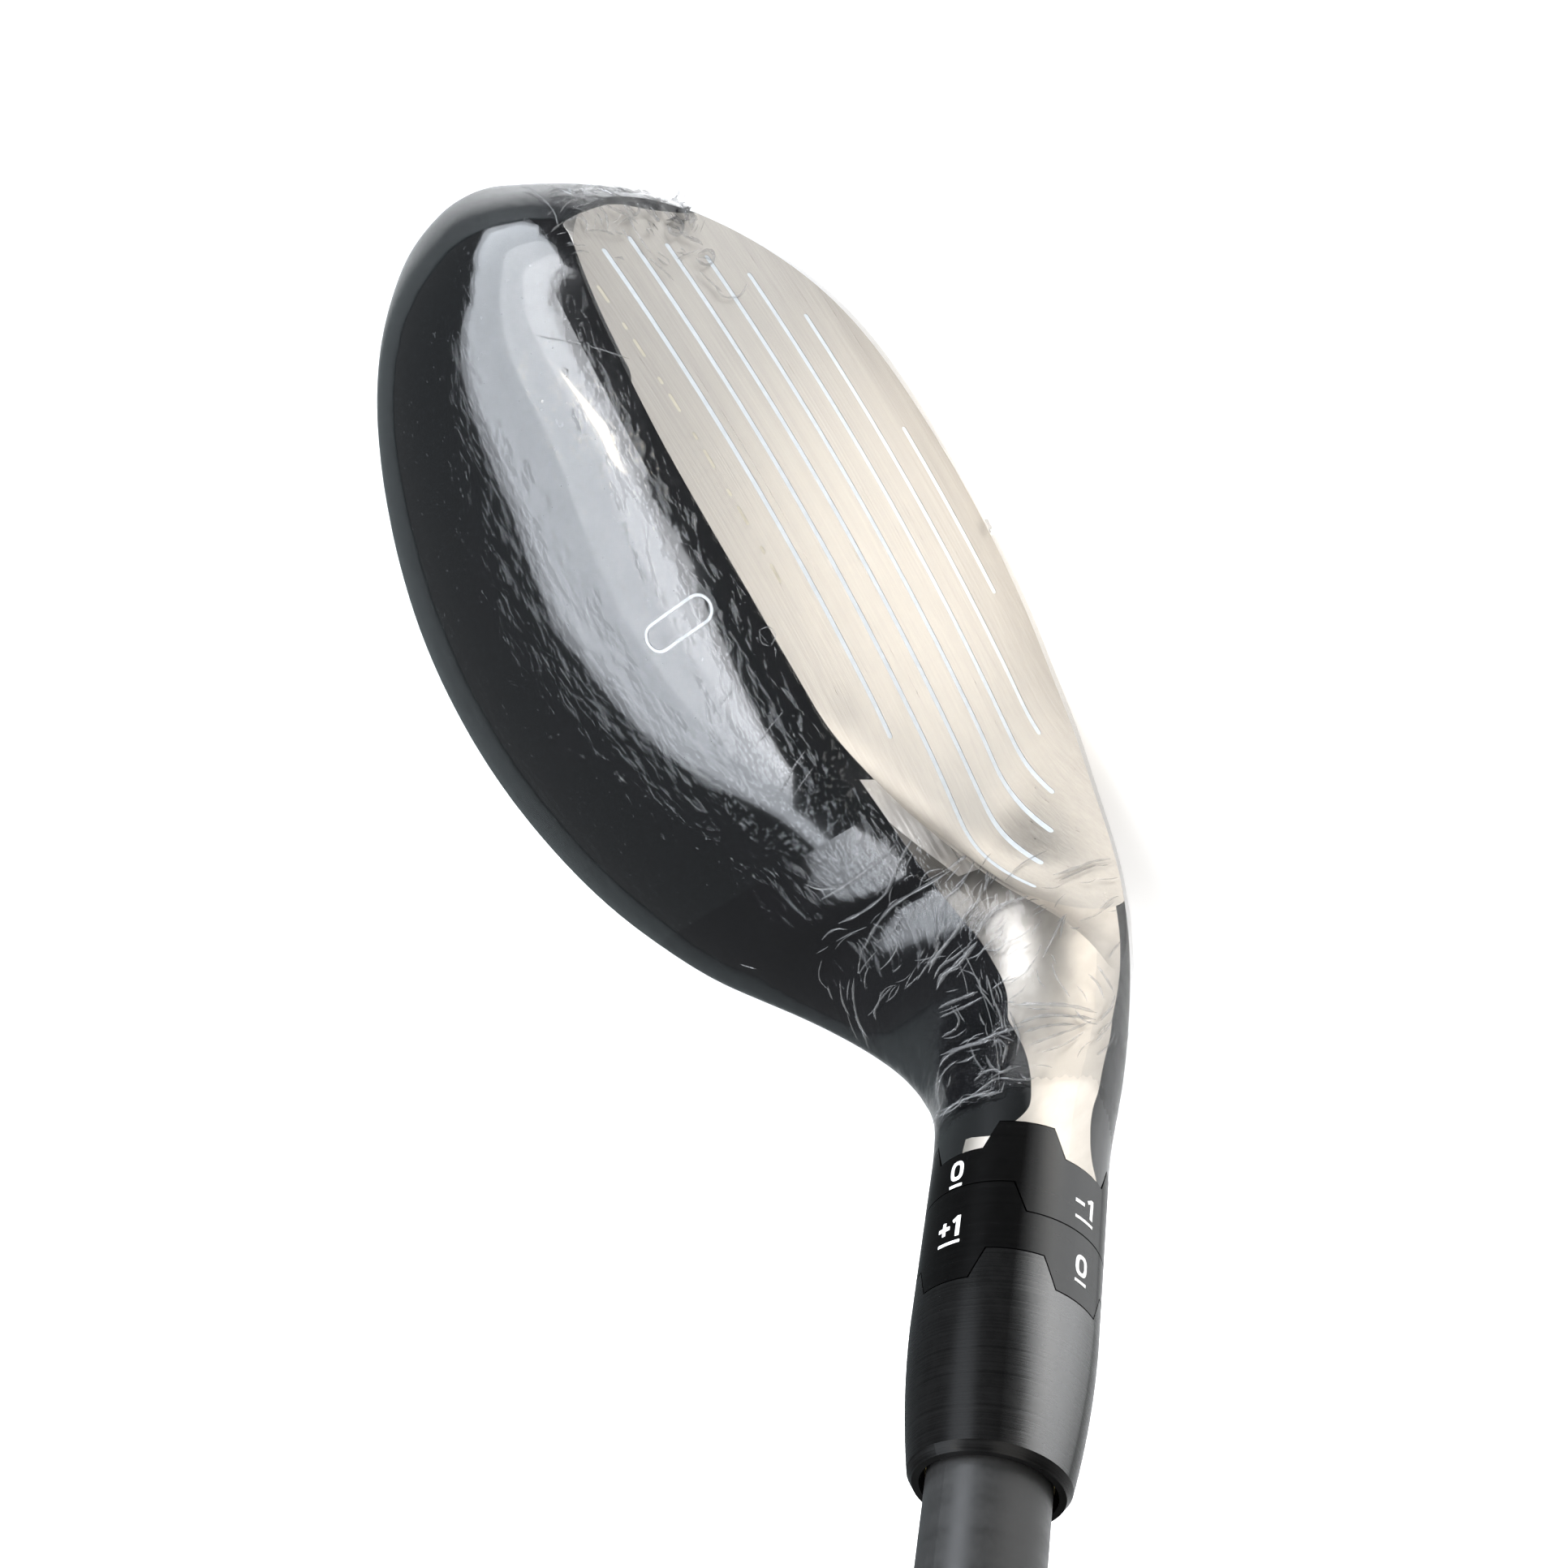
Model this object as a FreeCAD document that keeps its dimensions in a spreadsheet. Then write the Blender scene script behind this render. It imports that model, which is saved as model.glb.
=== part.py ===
import FreeCAD, Part
import math
import os
import Sketcher
from FreeCAD import Vector, Placement, Rotation

# Left-handed hybrid golf club, lying in its playing position.
# Working frame: the shaft axis meets the ground at (0, 0, 0); +X runs heel to
# toe, +Y towards the back of the head, +Z up. Every node is then shifted so
# that the row origin is the middle of the small flat under the sole.
# A "station" is a distance from the ground measured along the shaft axis.

doc = FreeCAD.newDocument("hybrid_club")
sheet = doc.addObject("Spreadsheet::Sheet", "dims")
SCRATCH_CELL = "D1"

# ---------------------------------------------------------------- dimensions
PLAIN = [
    # shaft and head set-up
    ("lie_deg", 58.5), ("loft_deg", 18.0),
    ("origin_x", 34.79), ("origin_y", 6.2), ("origin_z", 0.0),
    # hosel and bore, as stations
    ("bore_radius", 6.0), ("bore_floor", 28.0), ("floor_under", 14.05),
    ("screw_clear_radius", 2.15), ("counterbore_radius", 3.8),
    ("hosel_end", 53.59), ("hosel_notch", 51.02),
    ("bore_wall", 1.5), ("hosel_radius_extra", 0.02),
    # ring stack; the flares and overruns carry the cutters past the ring ends
    ("ring_radius", 7.4), ("ring_bore", 5.56), ("seam_gap", 0.12),
    ("mid_near", 57.1), ("mid_far", 59.75),
    ("top_near", 63.39), ("top_far", 65.98),
    ("notch_half_wide", 3.37), ("notch_half_thin", 2.27),
    ("mid_half_wide", 5.62), ("mid_half_thin", 4.8),
    ("notch_flare", 0.5), ("mid_flare", 0.36),
    ("head_side_overrun", 1.17), ("cut_overrun", 1.0),
    ("notch_fit_lower", 0.08), ("notch_fit_upper", 0.04), ("mid_fit", 0.05),
    # sleeve
    ("barrel_radius", 5.5), ("sleeve_bore", 4.85), ("sleeve_low", 31.3),
    ("sleeve_step", 40.8), ("sleeve_rim", 79.5), ("rim_radius", 6.2),
    ("insert_bore", 3.6), ("insert_top", 39.8), ("insert_inset", 0.3),
    ("collar_overlap", 0.2), ("collar_straight_end", 67.0), ("collar_bore_low", 70.0),
    ("collar_via_radius", 6.98), ("collar_via", 73.6), ("barrel_end", 71.0),
    ("rim_edge_drop", 0.55), ("rim_edge_in", 0.45), ("rim_rise", 0.15),
    ("mouth_flare", 0.35), ("mouth_depth", 0.6), ("sleeve_chamfer", 0.8),
    # captive screw, its washer and clip
    ("screw_shank", 2.0), ("screw_head", 3.4), ("screw_low", 10.3),
    ("screw_seat", 13.4), ("screw_tip", 39.3), ("screw_chamfer", 0.5),
    ("screw_tip_chamfer", 0.6), ("clip_groove_depth", 0.3),
    ("screw_socket_depth", 2.2), ("screw_socket_radius", 2.1),
    ("washer_top", 14.0), ("washer_fit", 0.1), ("washer_gap", 0.02),
    ("clip_low", 28.1), ("clip_top", 28.8), ("clip_radius", 4.4),
    ("clip_bore_inset", 0.25), ("small_fit", 0.05),
    # ring guide clip
    ("guide_low", 48.6), ("guide_top", 50.6), ("guide_radius", 5.94),
    # shaft
    ("tip_radius", 4.74), ("tip_parallel", 190.0), ("butt_radius", 7.62),
    ("shaft_low", 41.3), ("shaft_end", 1024.0), ("shaft_wall", 1.5),
    ("butt_wall", 1.1), ("butt_length", 220.0), ("plug_length", 7.0),
    ("bond_drop", 1.2),
    # grip, with a groove near its mouth, and its cap
    ("grip_low", 757.0), ("grip_end", 1026.5), ("grip_mouth", 9.4),
    ("grip_butt", 12.9), ("tape_wall", 0.35), ("mouth_chamfer", 0.3),
    ("grip_ramp", 0.6), ("grip_groove_depth", 0.35), ("grip_groove_low", 5.0),
    ("grip_groove_top", 7.0), ("grip_step", 0.05), ("grip_mid_swell", 1.5),
    ("grip_mid_rise", 120.0),
    ("cap_radius", 14.1), ("cap_end", 1031.0), ("vent_radius", 1.5),
    ("cap_gap", 0.2), ("cap_chamfer", 0.5), ("cap_chamfer_length", 0.6),
    ("cap_band_top", 1.8), ("cap_shoulder", 0.8), ("cap_shoulder_drop", 1.2),
    ("cap_end_inset", 3.0),
    # face and its fairing into the hosel
    ("face_thick", 2.2), ("bulge_radius", 300.0), ("face_front", 8.5),
    ("face_mid_x", 40.0), ("face_mid_h", 17.0), ("hosel_front", 8.6),
    ("fair_side", 10.0), ("fair_station", 17.0), ("fair_length", 16.0),
    # score lines and etched dashes
    ("line_width", 0.52), ("line_depth", 0.35), ("line_recess", 0.04),
    ("line_pitch", 3.5), ("line_low_h", 4.06), ("dash_x", 29.0),
    ("dash_pitch", 3.1), ("dash_long", 1.7), ("dash_short", 0.5),
    ("dash_h", 28.2), ("dash_width", 0.34), ("dash_depth", 0.1),
    ("dash_recess", 0.02), ("groove_lead", 0.5),
    # shell and film
    ("shell_wall", 1.3), ("face_clear", 0.25), ("crown_split_x", 6.0),
    ("crown_split_z", 20.5), ("film_gap", 0.28), ("film_wall", 0.14),
    ("film_end", 48.0),
    # sole weight
    ("weight_x", 38.0), ("weight_y", 32.0), ("weight_radius", 6.0),
    ("weight_low", 2.8), ("weight_top", 7.9), ("boss_radius", 7.9),
    ("boss_top", 9.0), ("sole_flat", 0.0), ("weight_fit", 0.05),
    ("weight_low_chamfer", 0.4), ("weight_top_chamfer", 0.5),
    ("weight_socket_depth", 2.4), ("weight_socket_radius", 2.3),
    # ends of the head skin
    ("toe_tip_x", 82.28), ("toe_tip_y", 19.64), ("toe_tip_z", 13.75),
    ("fan_centre_z", 37.0),
]

# Dimensions worked out in the sheet from those above.
DERIVED = [
    ("taper_end", "=grip_end - butt_length"),
    ("tape_radius", "=butt_radius + tape_wall"),
    ("grip_under", "=tip_radius + (grip_low - tip_parallel)"
                   " * (butt_radius - tip_radius) / (taper_end - tip_parallel)"),
]

# Head stations. Each row is a closed section made of four quarter
# super-ellipses. Columns: see COLUMNS; the powers are those of the quarters
# front-top, back-top, back-bottom and front-bottom.
COLUMNS = ["pos", "crown_z", "crown_y", "front_z", "front_y", "back_z", "back_y",
           "low_y", "low_z", "pow_ft", "pow_bt", "pow_bb", "pow_fb", "shift"]
POWERS = COLUMNS[9:13]
# pos is the distance along X; there is no shift.
STATIONS = [
    [79.5, 22.84, 16.62, 17.06, 10.21, 14.67, 29.73, 19.62, 10.24, 2.0, 2.0, 2.0, 2.2],
    [74.5, 28.09, 16.39, 17.02, 2.51, 14.29, 34.9, 14.54, 7.09, 2.1, 2.0, 2.0, 2.3],
    [68.5, 30.71, 16.26, 16.31, -2.78, 14.19, 40.23, 10.45, 3.99, 2.2, 2.0, 2.0, 2.5],
    [61.0, 31.53, 16.3, 15.0, -6.84, 14.23, 45.28, 7.5, 1.29, 2.2, 2.0, 2.1, 2.8],
    [53.0, 32.05, 16.19, 13.68, -10.64, 14.05, 49.07, 5.84, -0.17, 2.2, 2.0, 2.2, 3.2],
    [45.0, 32.54, 15.91, 12.58, -13.71, 13.79, 51.38, 5.2, -0.4, 2.2, 2.0, 2.3, 3.4],
    [36.0, 32.46, 15.51, 11.67, -15.45, 13.68, 52.32, 5.07, -0.5, 2.2, 2.0, 2.3, 3.4],
    [28.0, 32.08, 14.67, 11.16, -15.7, 13.81, 51.87, 5.06, -0.49, 2.2, 2.0, 2.3, 3.4],
    [20.0, 31.53, 13.15, 11.2, -14.98, 14.21, 50.11, 4.85, -0.25, 2.2, 2.0, 2.3, 3.2],
    [12.0, 30.29, 11.03, 11.69, -13.7, 14.98, 47.33, 4.23, 0.39, 2.2, 2.0, 2.2, 3.0],
    [5.0, 28.48, 8.27, 12.6, -11.96, 15.86, 43.26, 3.25, 1.5, 2.2, 2.0, 2.1, 2.8],
]
# Heel stations, fanned about a point above the heel: pos is the angle, heights
# are distances from that point, and shift is along the shaft axis.
FAN = [
    [2.0, 8.38, 5.95, 22.05, -9.2, 21.23, 39.45, 3.67, 33.55, 2.2, 2.0, 2.1, 2.5, 0.0],
    [15.0, 9.65, 3.86, 21.11, -8.67, 20.08, 34.5, 2.65, 31.35, 2.15, 2.0, 2.05, 2.3, 0.0],
    [29.0, 10.69, 2.36, 20.51, -8.67, 19.58, 28.75, 1.72, 29.63, 2.1, 2.0, 2.0, 2.15, 0.0],
    [44.0, 11.57, 1.41, 20.08, -8.64, 19.41, 22.99, 0.95, 28.31, 2.0, 2.0, 2.0, 2.0, 0.0],
    [58.5, 12.45, 0.85, 19.83, -8.55, 19.35, 17.87, 0.37, 27.51, 2.0, 2.0, 2.0, 2.0, 0.0],
    [58.5, 13.19, 0.51, 19.79, -8.6, 19.33, 13.65, -0.04, 27.24, 2.0, 2.0, 2.0, 2.0, 5.0],
    [58.5, 13.16, 0.24, 19.67, -8.33, 19.33, 10.35, -0.18, 27.11, 2.0, 2.0, 2.0, 2.0, 10.0],
    [58.5, 11.83, 0.0, 19.36, -7.56, 19.35, 7.99, -0.0, 26.9, 2.0, 2.0, 2.0, 2.0, 15.0],
]
# Stations of the round sections that finish the hosel
HOSEL_STATIONS = (19.5, 24.0, 28.0)
# Pole rows used for the cavity, which stops short of the hosel
CAVITY_ROWS = 17
# Score lines, top line first: toe end x, heel end x
SCORE_LINES = [
    (65.04, 11.52), (65.52, -7.38), (63.68, -5.98), (61.29, -3.96),
    (58.23, -0.86), (52.29, 4.74), (37.85, 19.22),
]
DASH_COUNT = 11
# Heel edge of the face plate seen along Y, from the bottom up: x, z
PLATE_EDGE = [
    (-1.0, -14), (-2.4, 0), (-4.1, 7.2), (-6.6, 9.6), (-9.4, 11.8), (-11.9, 14.0), (-13.0, 16.6),
    (-12.3, 19.2), (-10.3, 21.6), (-7.4, 23.3), (-3.8, 26.0), (-1.6, 31.0), (-1.0, 45),
]
PLATE_TOE_X = 110
HOSEL_NOTCH_ANGLES = (45.5, 135.5)


def fill_sheet():
    entries = list(PLAIN)
    for prefix, table in (("station", STATIONS), ("fan", FAN)):
        for i, values in enumerate(table):
            for column, value in zip(COLUMNS, values):
                entries.append(("%s_%02d_%s" % (prefix, i, column), value))
    for i, (toe_x, heel_x) in enumerate(SCORE_LINES):
        entries.append(("line_%d_toe" % (i + 1), toe_x))
        entries.append(("line_%d_heel" % (i + 1), heel_x))
    for row, (alias, value) in enumerate(entries + DERIVED, 1):
        content = value if isinstance(value, str) else repr(float(value))
        sheet.set("A%d" % row, alias)
        sheet.set("B%d" % row, content)
        sheet.setAlias("B%d" % row, alias)
    doc.recompute()


def dim(cell):
    """Number held in a sheet cell, given by alias or address."""
    value = sheet.get(cell)
    return float(value.Value) if hasattr(value, "Value") else float(value)


fill_sheet()
LIE = math.radians(dim("lie_deg"))
LOFT = math.radians(dim("loft_deg"))
SHAFT_AXIS = Vector(-math.cos(LIE), 0, math.sin(LIE))
SHIFT = Vector(-dim("origin_x"), -dim("origin_y"), -dim("origin_z"))
UP = Vector(0, 0, 1)
TILT = Rotation(Vector(0, 1, 0), -(90.0 - dim("lie_deg")))
nodes = []


def bind_base(node, x="-dims.origin_x", y="-dims.origin_y"):
    node.setExpression("Placement.Base.x", x)
    node.setExpression("Placement.Base.y", y)
    node.setExpression("Placement.Base.z", "-dims.origin_z")


def largest(shape):
    """The largest solid, so slivers left by cutting are dropped."""
    return max(shape.Solids, key=lambda solid: solid.Volume)


def head_node(name, shape):
    node = doc.addObject("Part::Feature", name)
    node.Label = name
    node.Shape = shape
    node.Placement = Placement(SHIFT, Rotation())
    bind_base(node)
    nodes.append(node)


# ------------------------------------------------------------- head surface
QUARTER_POINTS = 6


def quarter(start, end, power, steep):
    """Quarter super-ellipse of (y, z) points; it leaves start upright if steep, else level."""
    (y0, z0), (y1, z1) = start, end
    points = []
    for i in range(QUARTER_POINTS):
        angle = math.pi / 2 * i / QUARTER_POINTS
        cos_part = math.cos(angle) ** (2.0 / power)
        sin_part = math.sin(angle) ** (2.0 / power)
        if steep:
            points.append((y1 + (y0 - y1) * cos_part, z0 + (z1 - z0) * sin_part))
        else:
            points.append((y0 + (y1 - y0) * sin_part, z1 + (z0 - z1) * cos_part))
    return points


def section(front, crown, back, low, powers):
    return (quarter(front, crown, powers[0], True) + quarter(crown, back, powers[1], False)
            + quarter(back, low, powers[2], True) + quarter(low, front, powers[3], False))


def sheet_section(prefix, inset, sign):
    """Section read from the sheet, shrunk by inset; sign -1 turns distances into drops."""
    def column(name):
        return dim(prefix + "_" + name)
    return section((column("front_y") + inset, sign * column("front_z")),
                   (column("crown_y"), sign * column("crown_z") - inset),
                   (column("back_y") - inset, sign * column("back_z")),
                   (column("low_y"), sign * column("low_z") + inset),
                   [column(name) for name in POWERS])


def fan_row(points, angle, shift):
    """Poles of a section turned about the fan centre and moved along the shaft axis."""
    centre_z = dim("fan_centre_z")
    return [Vector(z * math.sin(angle), y, centre_z + z * math.cos(angle)) + SHAFT_AXIS * shift
            for y, z in points]


def head_poles(inset):
    """Rows of poles from the toe tip to the end of the hosel."""
    rows = []
    for i in range(len(STATIONS)):
        prefix = "station_%02d" % i
        x = dim(prefix + "_pos")
        rows.append([Vector(x, y, z) for y, z in sheet_section(prefix, inset, 1)])

    toe = Vector(dim("toe_tip_x") - inset, dim("toe_tip_y"), dim("toe_tip_z"))
    first = rows[0]

    def toe_row(spread, recede):
        x = toe.x - (toe.x - first[0].x) * recede
        return [Vector(x, toe.y + (pole.y - toe.y) * spread, toe.z + (pole.z - toe.z) * spread)
                for pole in first]
    rows = [[toe] * len(first), toe_row(0.34, 0.0), toe_row(0.72, 0.36)] + rows

    for i in range(len(FAN)):
        prefix = "fan_%02d" % i
        rows.append(fan_row(sheet_section(prefix, inset, -1),
                            math.radians(dim(prefix + "_pos")), dim(prefix + "_shift")))

    axis_drop = dim("fan_centre_z") * math.cos(LIE)
    radius = dim("ring_radius") + dim("hosel_radius_extra")
    circle = section((-radius + inset, -axis_drop), (0, -(axis_drop - radius) - inset),
                     (radius - inset, -axis_drop), (0, -(axis_drop + radius) + inset),
                     (2, 2, 2, 2))
    for shift in HOSEL_STATIONS:
        rows.append(fan_row(circle, LIE, shift))
    return rows


def head_solid(inset, row_count=None):
    """Head skin shrunk by inset, closed by a cap after the first row_count pole rows."""
    rows = head_poles(inset)[:row_count]
    row_total, around = len(rows), len(rows[0])
    u_knots = list(range(row_total - 2))
    u_mults = [4] + [1] * (row_total - 4) + [4]
    v_knots = list(range(around + 1))
    v_mults = [1] * (around + 1)
    surface = Part.BSplineSurface()
    surface.buildFromPolesMultsKnots(rows, u_mults, v_mults, u_knots, v_knots, False, True, 3, 3)
    skin_face = surface.toShape()
    end_edge = surface.uIso(u_knots[-1]).toShape()
    shell = Part.makeShell([skin_face, Part.Face(Part.Wire([end_edge]))])
    shell.sewShape()
    solid = Part.Solid(shell)
    if solid.Volume < 0:
        solid.reverse()
    return solid


# ------------------------------------------------------------- face surface
def ease(value):
    """Smooth step from 0 to 1."""
    value = min(1.0, max(0.0, value))
    return value * value * (3 - 2 * value)


def face_y(x, z):
    """Front surface: loft plane with bulge and roll, faired into the hosel."""
    loft_h = z / math.cos(LOFT)
    sag = -(((x - dim("face_mid_x")) ** 2 + (loft_h - dim("face_mid_h")) ** 2)
            / (2 * dim("bulge_radius")))
    y = -dim("face_front") + z * math.tan(LOFT) - sag / math.cos(LOFT)
    toe_side = x * math.sin(LIE) + z * math.cos(LIE)
    station = z * math.sin(LIE) - x * math.cos(LIE)
    near_axis = ease((dim("fair_side") - toe_side) / dim("fair_length"))
    up_shaft = ease((station - dim("fair_station")) / dim("fair_length"))
    blend = 1 - (1 - near_axis) * (1 - up_shaft)
    return y * (1 - blend) - dim("hosel_front") * blend


def make_front_block():
    """Block filling the space ahead of the face surface."""
    x_low, x_step, x_count = -52.0, 4.2, 38
    z_low, z_step, z_count = -14.0, 4.0, 22
    grid = []
    for i in range(x_count):
        x = x_low + x_step * i
        heights = [z_low + z_step * j for j in range(z_count)]
        grid.append([Vector(x, face_y(x, z), z) for z in heights])
    surface = Part.BSplineSurface()
    surface.interpolate(grid)
    block = surface.toShape().extrude(Vector(0, -90, 0))
    if block.Volume < 0:
        block.reverse()
    return block


front_block = make_front_block()


# ----------------------------------------------------------------- tools
def ahead_of(depth):
    """Everything ahead of the face surface moved back by depth."""
    block = front_block.copy()
    block.translate(Vector(0, depth, 0))
    return block


def face_layer(near, far):
    return ahead_of(far).cut(ahead_of(near))


def axial(radius, low, high):
    """Cylinder on the shaft axis between two stations."""
    return Part.makeCylinder(radius, high - low, SHAFT_AXIS * low, SHAFT_AXIS)


def beyond(station):
    """Block covering everything past a station."""
    half, deep = 60.0, 60.0
    block = Part.makeBox(2 * half, 2 * half, deep, Vector(-half, -half, 0))
    block.Placement = Placement(SHAFT_AXIS * station, TILT)
    return block


def below_weight(radius, top):
    """Upright cylinder round the sole weight, from below the sole to top."""
    base_z = -6
    return Part.makeCylinder(radius, top - base_z,
                             Vector(dim("weight_x"), dim("weight_y"), base_z))


def shaft_prism(outline, near_y, depth, theta, station=0.0):
    """Prism of (x, z) points in the shaft frame; theta runs from the toe side to the front."""
    points = [Vector(x, near_y, z) for x, z in outline]
    points.append(points[0])
    prism = Part.Face(Part.makePolygon(points)).extrude(Vector(0, depth, 0))
    prism.Placement = Placement(SHAFT_AXIS * station, TILT * Rotation(UP, 90.0 - theta))
    return prism


def slot_face(start, end, side):
    """Round-ended slot between two centres; side points across it, one radius long."""
    along = (end - start).normalize() * side.Length
    a, b, c, d = start + side, end + side, end - side, start - side
    return Part.Face(Part.Wire([
        Part.makeLine(a, b), Part.Arc(b, end + along, c).toShape(),
        Part.makeLine(c, d), Part.Arc(d, start - along, a).toShape()]))


def face_slot(heel_x, toe_x, loft_h, width):
    """Slot prism along Y at a height measured up the loft line."""
    z = loft_h * math.cos(LOFT)
    slot = slot_face(Vector(heel_x, -60, z), Vector(toe_x, -60, z), Vector(0, 0, width / 2.0))
    return slot.extrude(Vector(0, 120, 0))


# ------------------------------------------------------ shared head shapes
def make_cavity():
    """Hollow of the shell, kept clear of the bore wall and the weight boss."""
    hollow = head_solid(dim("shell_wall"), CAVITY_ROWS)
    hollow = hollow.cut(ahead_of(dim("face_thick") + dim("face_clear")))
    hollow = hollow.cut(axial(dim("bore_radius") + dim("bore_wall"), -10, 70))
    return hollow.cut(below_weight(dim("boss_radius"), dim("boss_top")))


def make_plate_zone():
    """Space of the face plate: the front layer on the toe side of its heel edge."""
    edge = Part.BSplineCurve()
    edge.interpolate([Vector(x, 0, z) for x, z in PLATE_EDGE])
    bottom, top = [Vector(x, 0, z) for x, z in (PLATE_EDGE[0], PLATE_EDGE[-1])]
    toe_top = Vector(PLATE_TOE_X, 0, top.z)
    toe_bottom = Vector(PLATE_TOE_X, 0, bottom.z)
    outline = Part.Wire([edge.toShape(), Part.makeLine(top, toe_top),
                         Part.makeLine(toe_top, toe_bottom), Part.makeLine(toe_bottom, bottom)])
    prism = Part.Face(outline).extrude(Vector(0, 200, 0))
    prism.translate(Vector(0, -100, 0))
    return ahead_of(dim("face_thick")).common(prism)


skin = head_solid(0.0)
under_sole = Part.makeBox(400, 400, 60, Vector(-200, -200, dim("sole_flat") - 60))
outer = skin.cut(ahead_of(0.0)).cut(beyond(dim("hosel_end"))).cut(under_sole)
cavity = make_cavity()
plate_zone = make_plate_zone()
crown_box = Part.makeBox(120, 120, 60, Vector(dim("crown_split_x"), -60, dim("crown_split_z")))
counterbore = axial(dim("counterbore_radius"), -12, dim("floor_under"))


# -------------------------------------------------------------- head pieces
def make_head_body():
    """Shell with the shaft bore, castellated hosel end and weight hole."""
    body = outer.cut(cavity).cut(plate_zone).cut(crown_box.cut(ahead_of(dim("face_thick"))))
    body = body.cut(axial(dim("bore_radius"), dim("bore_floor"), 70))
    body = body.cut(axial(dim("screw_clear_radius"), -10, 30)).cut(counterbore)
    low, high, overrun = dim("hosel_notch"), dim("hosel_end"), 2
    wide, thin = dim("notch_half_wide"), dim("notch_half_thin")
    top_half = wide + (wide - thin) / (high - low) * overrun
    notch_outline = [(-thin, low), (thin, low),
                     (top_half, high + overrun), (-top_half, high + overrun)]
    for theta in HOSEL_NOTCH_ANGLES:
        body = body.cut(shaft_prism(notch_outline, -30, 60, theta))
    # the weight hole overshoots the weight by 0.2
    hole = below_weight(dim("weight_radius") + dim("weight_fit"), dim("weight_top") + 0.2)
    return largest(body.cut(hole))


def make_crown():
    shell = outer.cut(cavity).cut(ahead_of(dim("face_thick")))
    return largest(shell.common(crown_box))


def make_face_parts():
    """Grooved face plate, the paint in its score lines and the etched dashes."""
    lead = -dim("groove_lead")
    cuts, lines, dashes = [], [], []

    def add(slots, depth, recess, filled):
        cut_layer = face_layer(lead, depth)
        fill_layer = face_layer(recess, depth)
        for slot in slots:
            cuts.append(slot.common(cut_layer))
            filled.append(largest(slot.common(fill_layer)))

    last = len(SCORE_LINES) - 1
    line_slots = [
        face_slot(dim("line_%d_heel" % (i + 1)), dim("line_%d_toe" % (i + 1)),
                  dim("line_low_h") + dim("line_pitch") * (last - i), dim("line_width"))
        for i in range(len(SCORE_LINES))]
    add(line_slots, dim("line_depth"), dim("line_recess"), lines)

    dash_slots = []
    for i in range(DASH_COUNT):
        x = dim("dash_x") + dim("dash_pitch") * i
        length = dim("dash_long") if i % 2 == 0 else dim("dash_short")
        dash_slots.append(face_slot(x, x + length, dim("dash_h"), dim("dash_width")))
    add(dash_slots, dim("dash_depth"), dim("dash_recess"), dashes)

    plate = outer.common(plate_zone).cut(cuts).cut(counterbore)
    return largest(plate), Part.makeCompound(lines), Part.makeCompound(dashes)


def make_sight_mark():
    """Thin outlined pill lying on the crown."""
    centre_x, centre_y, half_length = 30.6, 9.6, 2.6
    outer_radius, inner_radius, thickness = 1.5, 1.22, 0.06

    def pill(radius):
        slot = slot_face(Vector(centre_x, centre_y - half_length, 0),
                         Vector(centre_x, centre_y + half_length, 0), Vector(-radius, 0, 0))
        return slot.extrude(Vector(0, 0, 50))
    layer = head_solid(-thickness).cut(skin)
    mark = layer.common(pill(outer_radius).cut(pill(inner_radius)))
    return largest(mark.common(Part.makeBox(200, 200, 30, Vector(-100, -100, 24))))


def make_sole_bar():
    length, width, height = 30, 13, 12
    return largest(cavity.common(Part.makeBox(length, width, height, Vector(20, 6, -8.4))))


def make_damper():
    """Pool on the cavity floor near the toe, with a domed top."""
    dome_radius, dome_centre = 9.0, Vector(61, 17, -1.5)
    return largest(cavity.common(Part.makeSphere(dome_radius, dome_centre)))


def make_film():
    """Clear film standing just off the head."""
    inner_gap = dim("film_gap")
    outer_gap = inner_gap + dim("film_wall")
    outside = head_solid(-outer_gap).cut(ahead_of(-outer_gap))
    inside = head_solid(-inner_gap).cut(ahead_of(-inner_gap))
    return largest(outside.cut(inside).cut(beyond(dim("film_end"))).cut(under_sole))


head_node("head_body", make_head_body())
head_node("crown_shell", make_crown())
face_plate, line_paint, etch_dashes = make_face_parts()
head_node("face_plate", face_plate)
head_node("score_line_paint", line_paint)
head_node("face_etch_dashes", etch_dashes)
head_node("crown_sight_mark", make_sight_mark())
head_node("tungsten_sole_bar", make_sole_bar())
head_node("hot_melt_damper", make_damper())
head_node("head_film", make_film())


# ------------------------------------------------------- revolved sub-parts
# Outlines are (radius, station) pairs of formulas in sheet dimensions.
def bound(formula):
    """Formula with every dimension prefixed by the sheet's name."""
    words = []
    for word in formula.split():
        name = word.lstrip("-(")
        if name[:1].isalpha():
            word = word[:-len(name)] + "dims." + name
        words.append(word)
    return " ".join(words)


def evaluate(formula):
    sheet.set(SCRATCH_CELL, "=" + formula)
    sheet.recompute()
    return dim(SCRATCH_CELL)


def origin_feature(body, role):
    return [item for item in body.Origin.OriginFeatures if item.Role == role][0]


def new_body(name, spin=0.0):
    """Body whose Z axis is the shaft axis, spun about it."""
    body = doc.addObject("PartDesign::Body", name)
    body.Label = name
    body.Placement = Placement(SHIFT, TILT * Rotation(UP, spin))
    bind_base(body)
    nodes.append(body)
    return body


def new_sketch(body, name, plane, offset):
    sketch = body.newObject("Sketcher::SketchObject", body.Name + "_" + name)
    sketch.AttachmentSupport = (origin_feature(body, plane), [""])
    sketch.MapMode = "FlatFace"
    sketch.AttachmentOffset = offset
    return sketch


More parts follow.
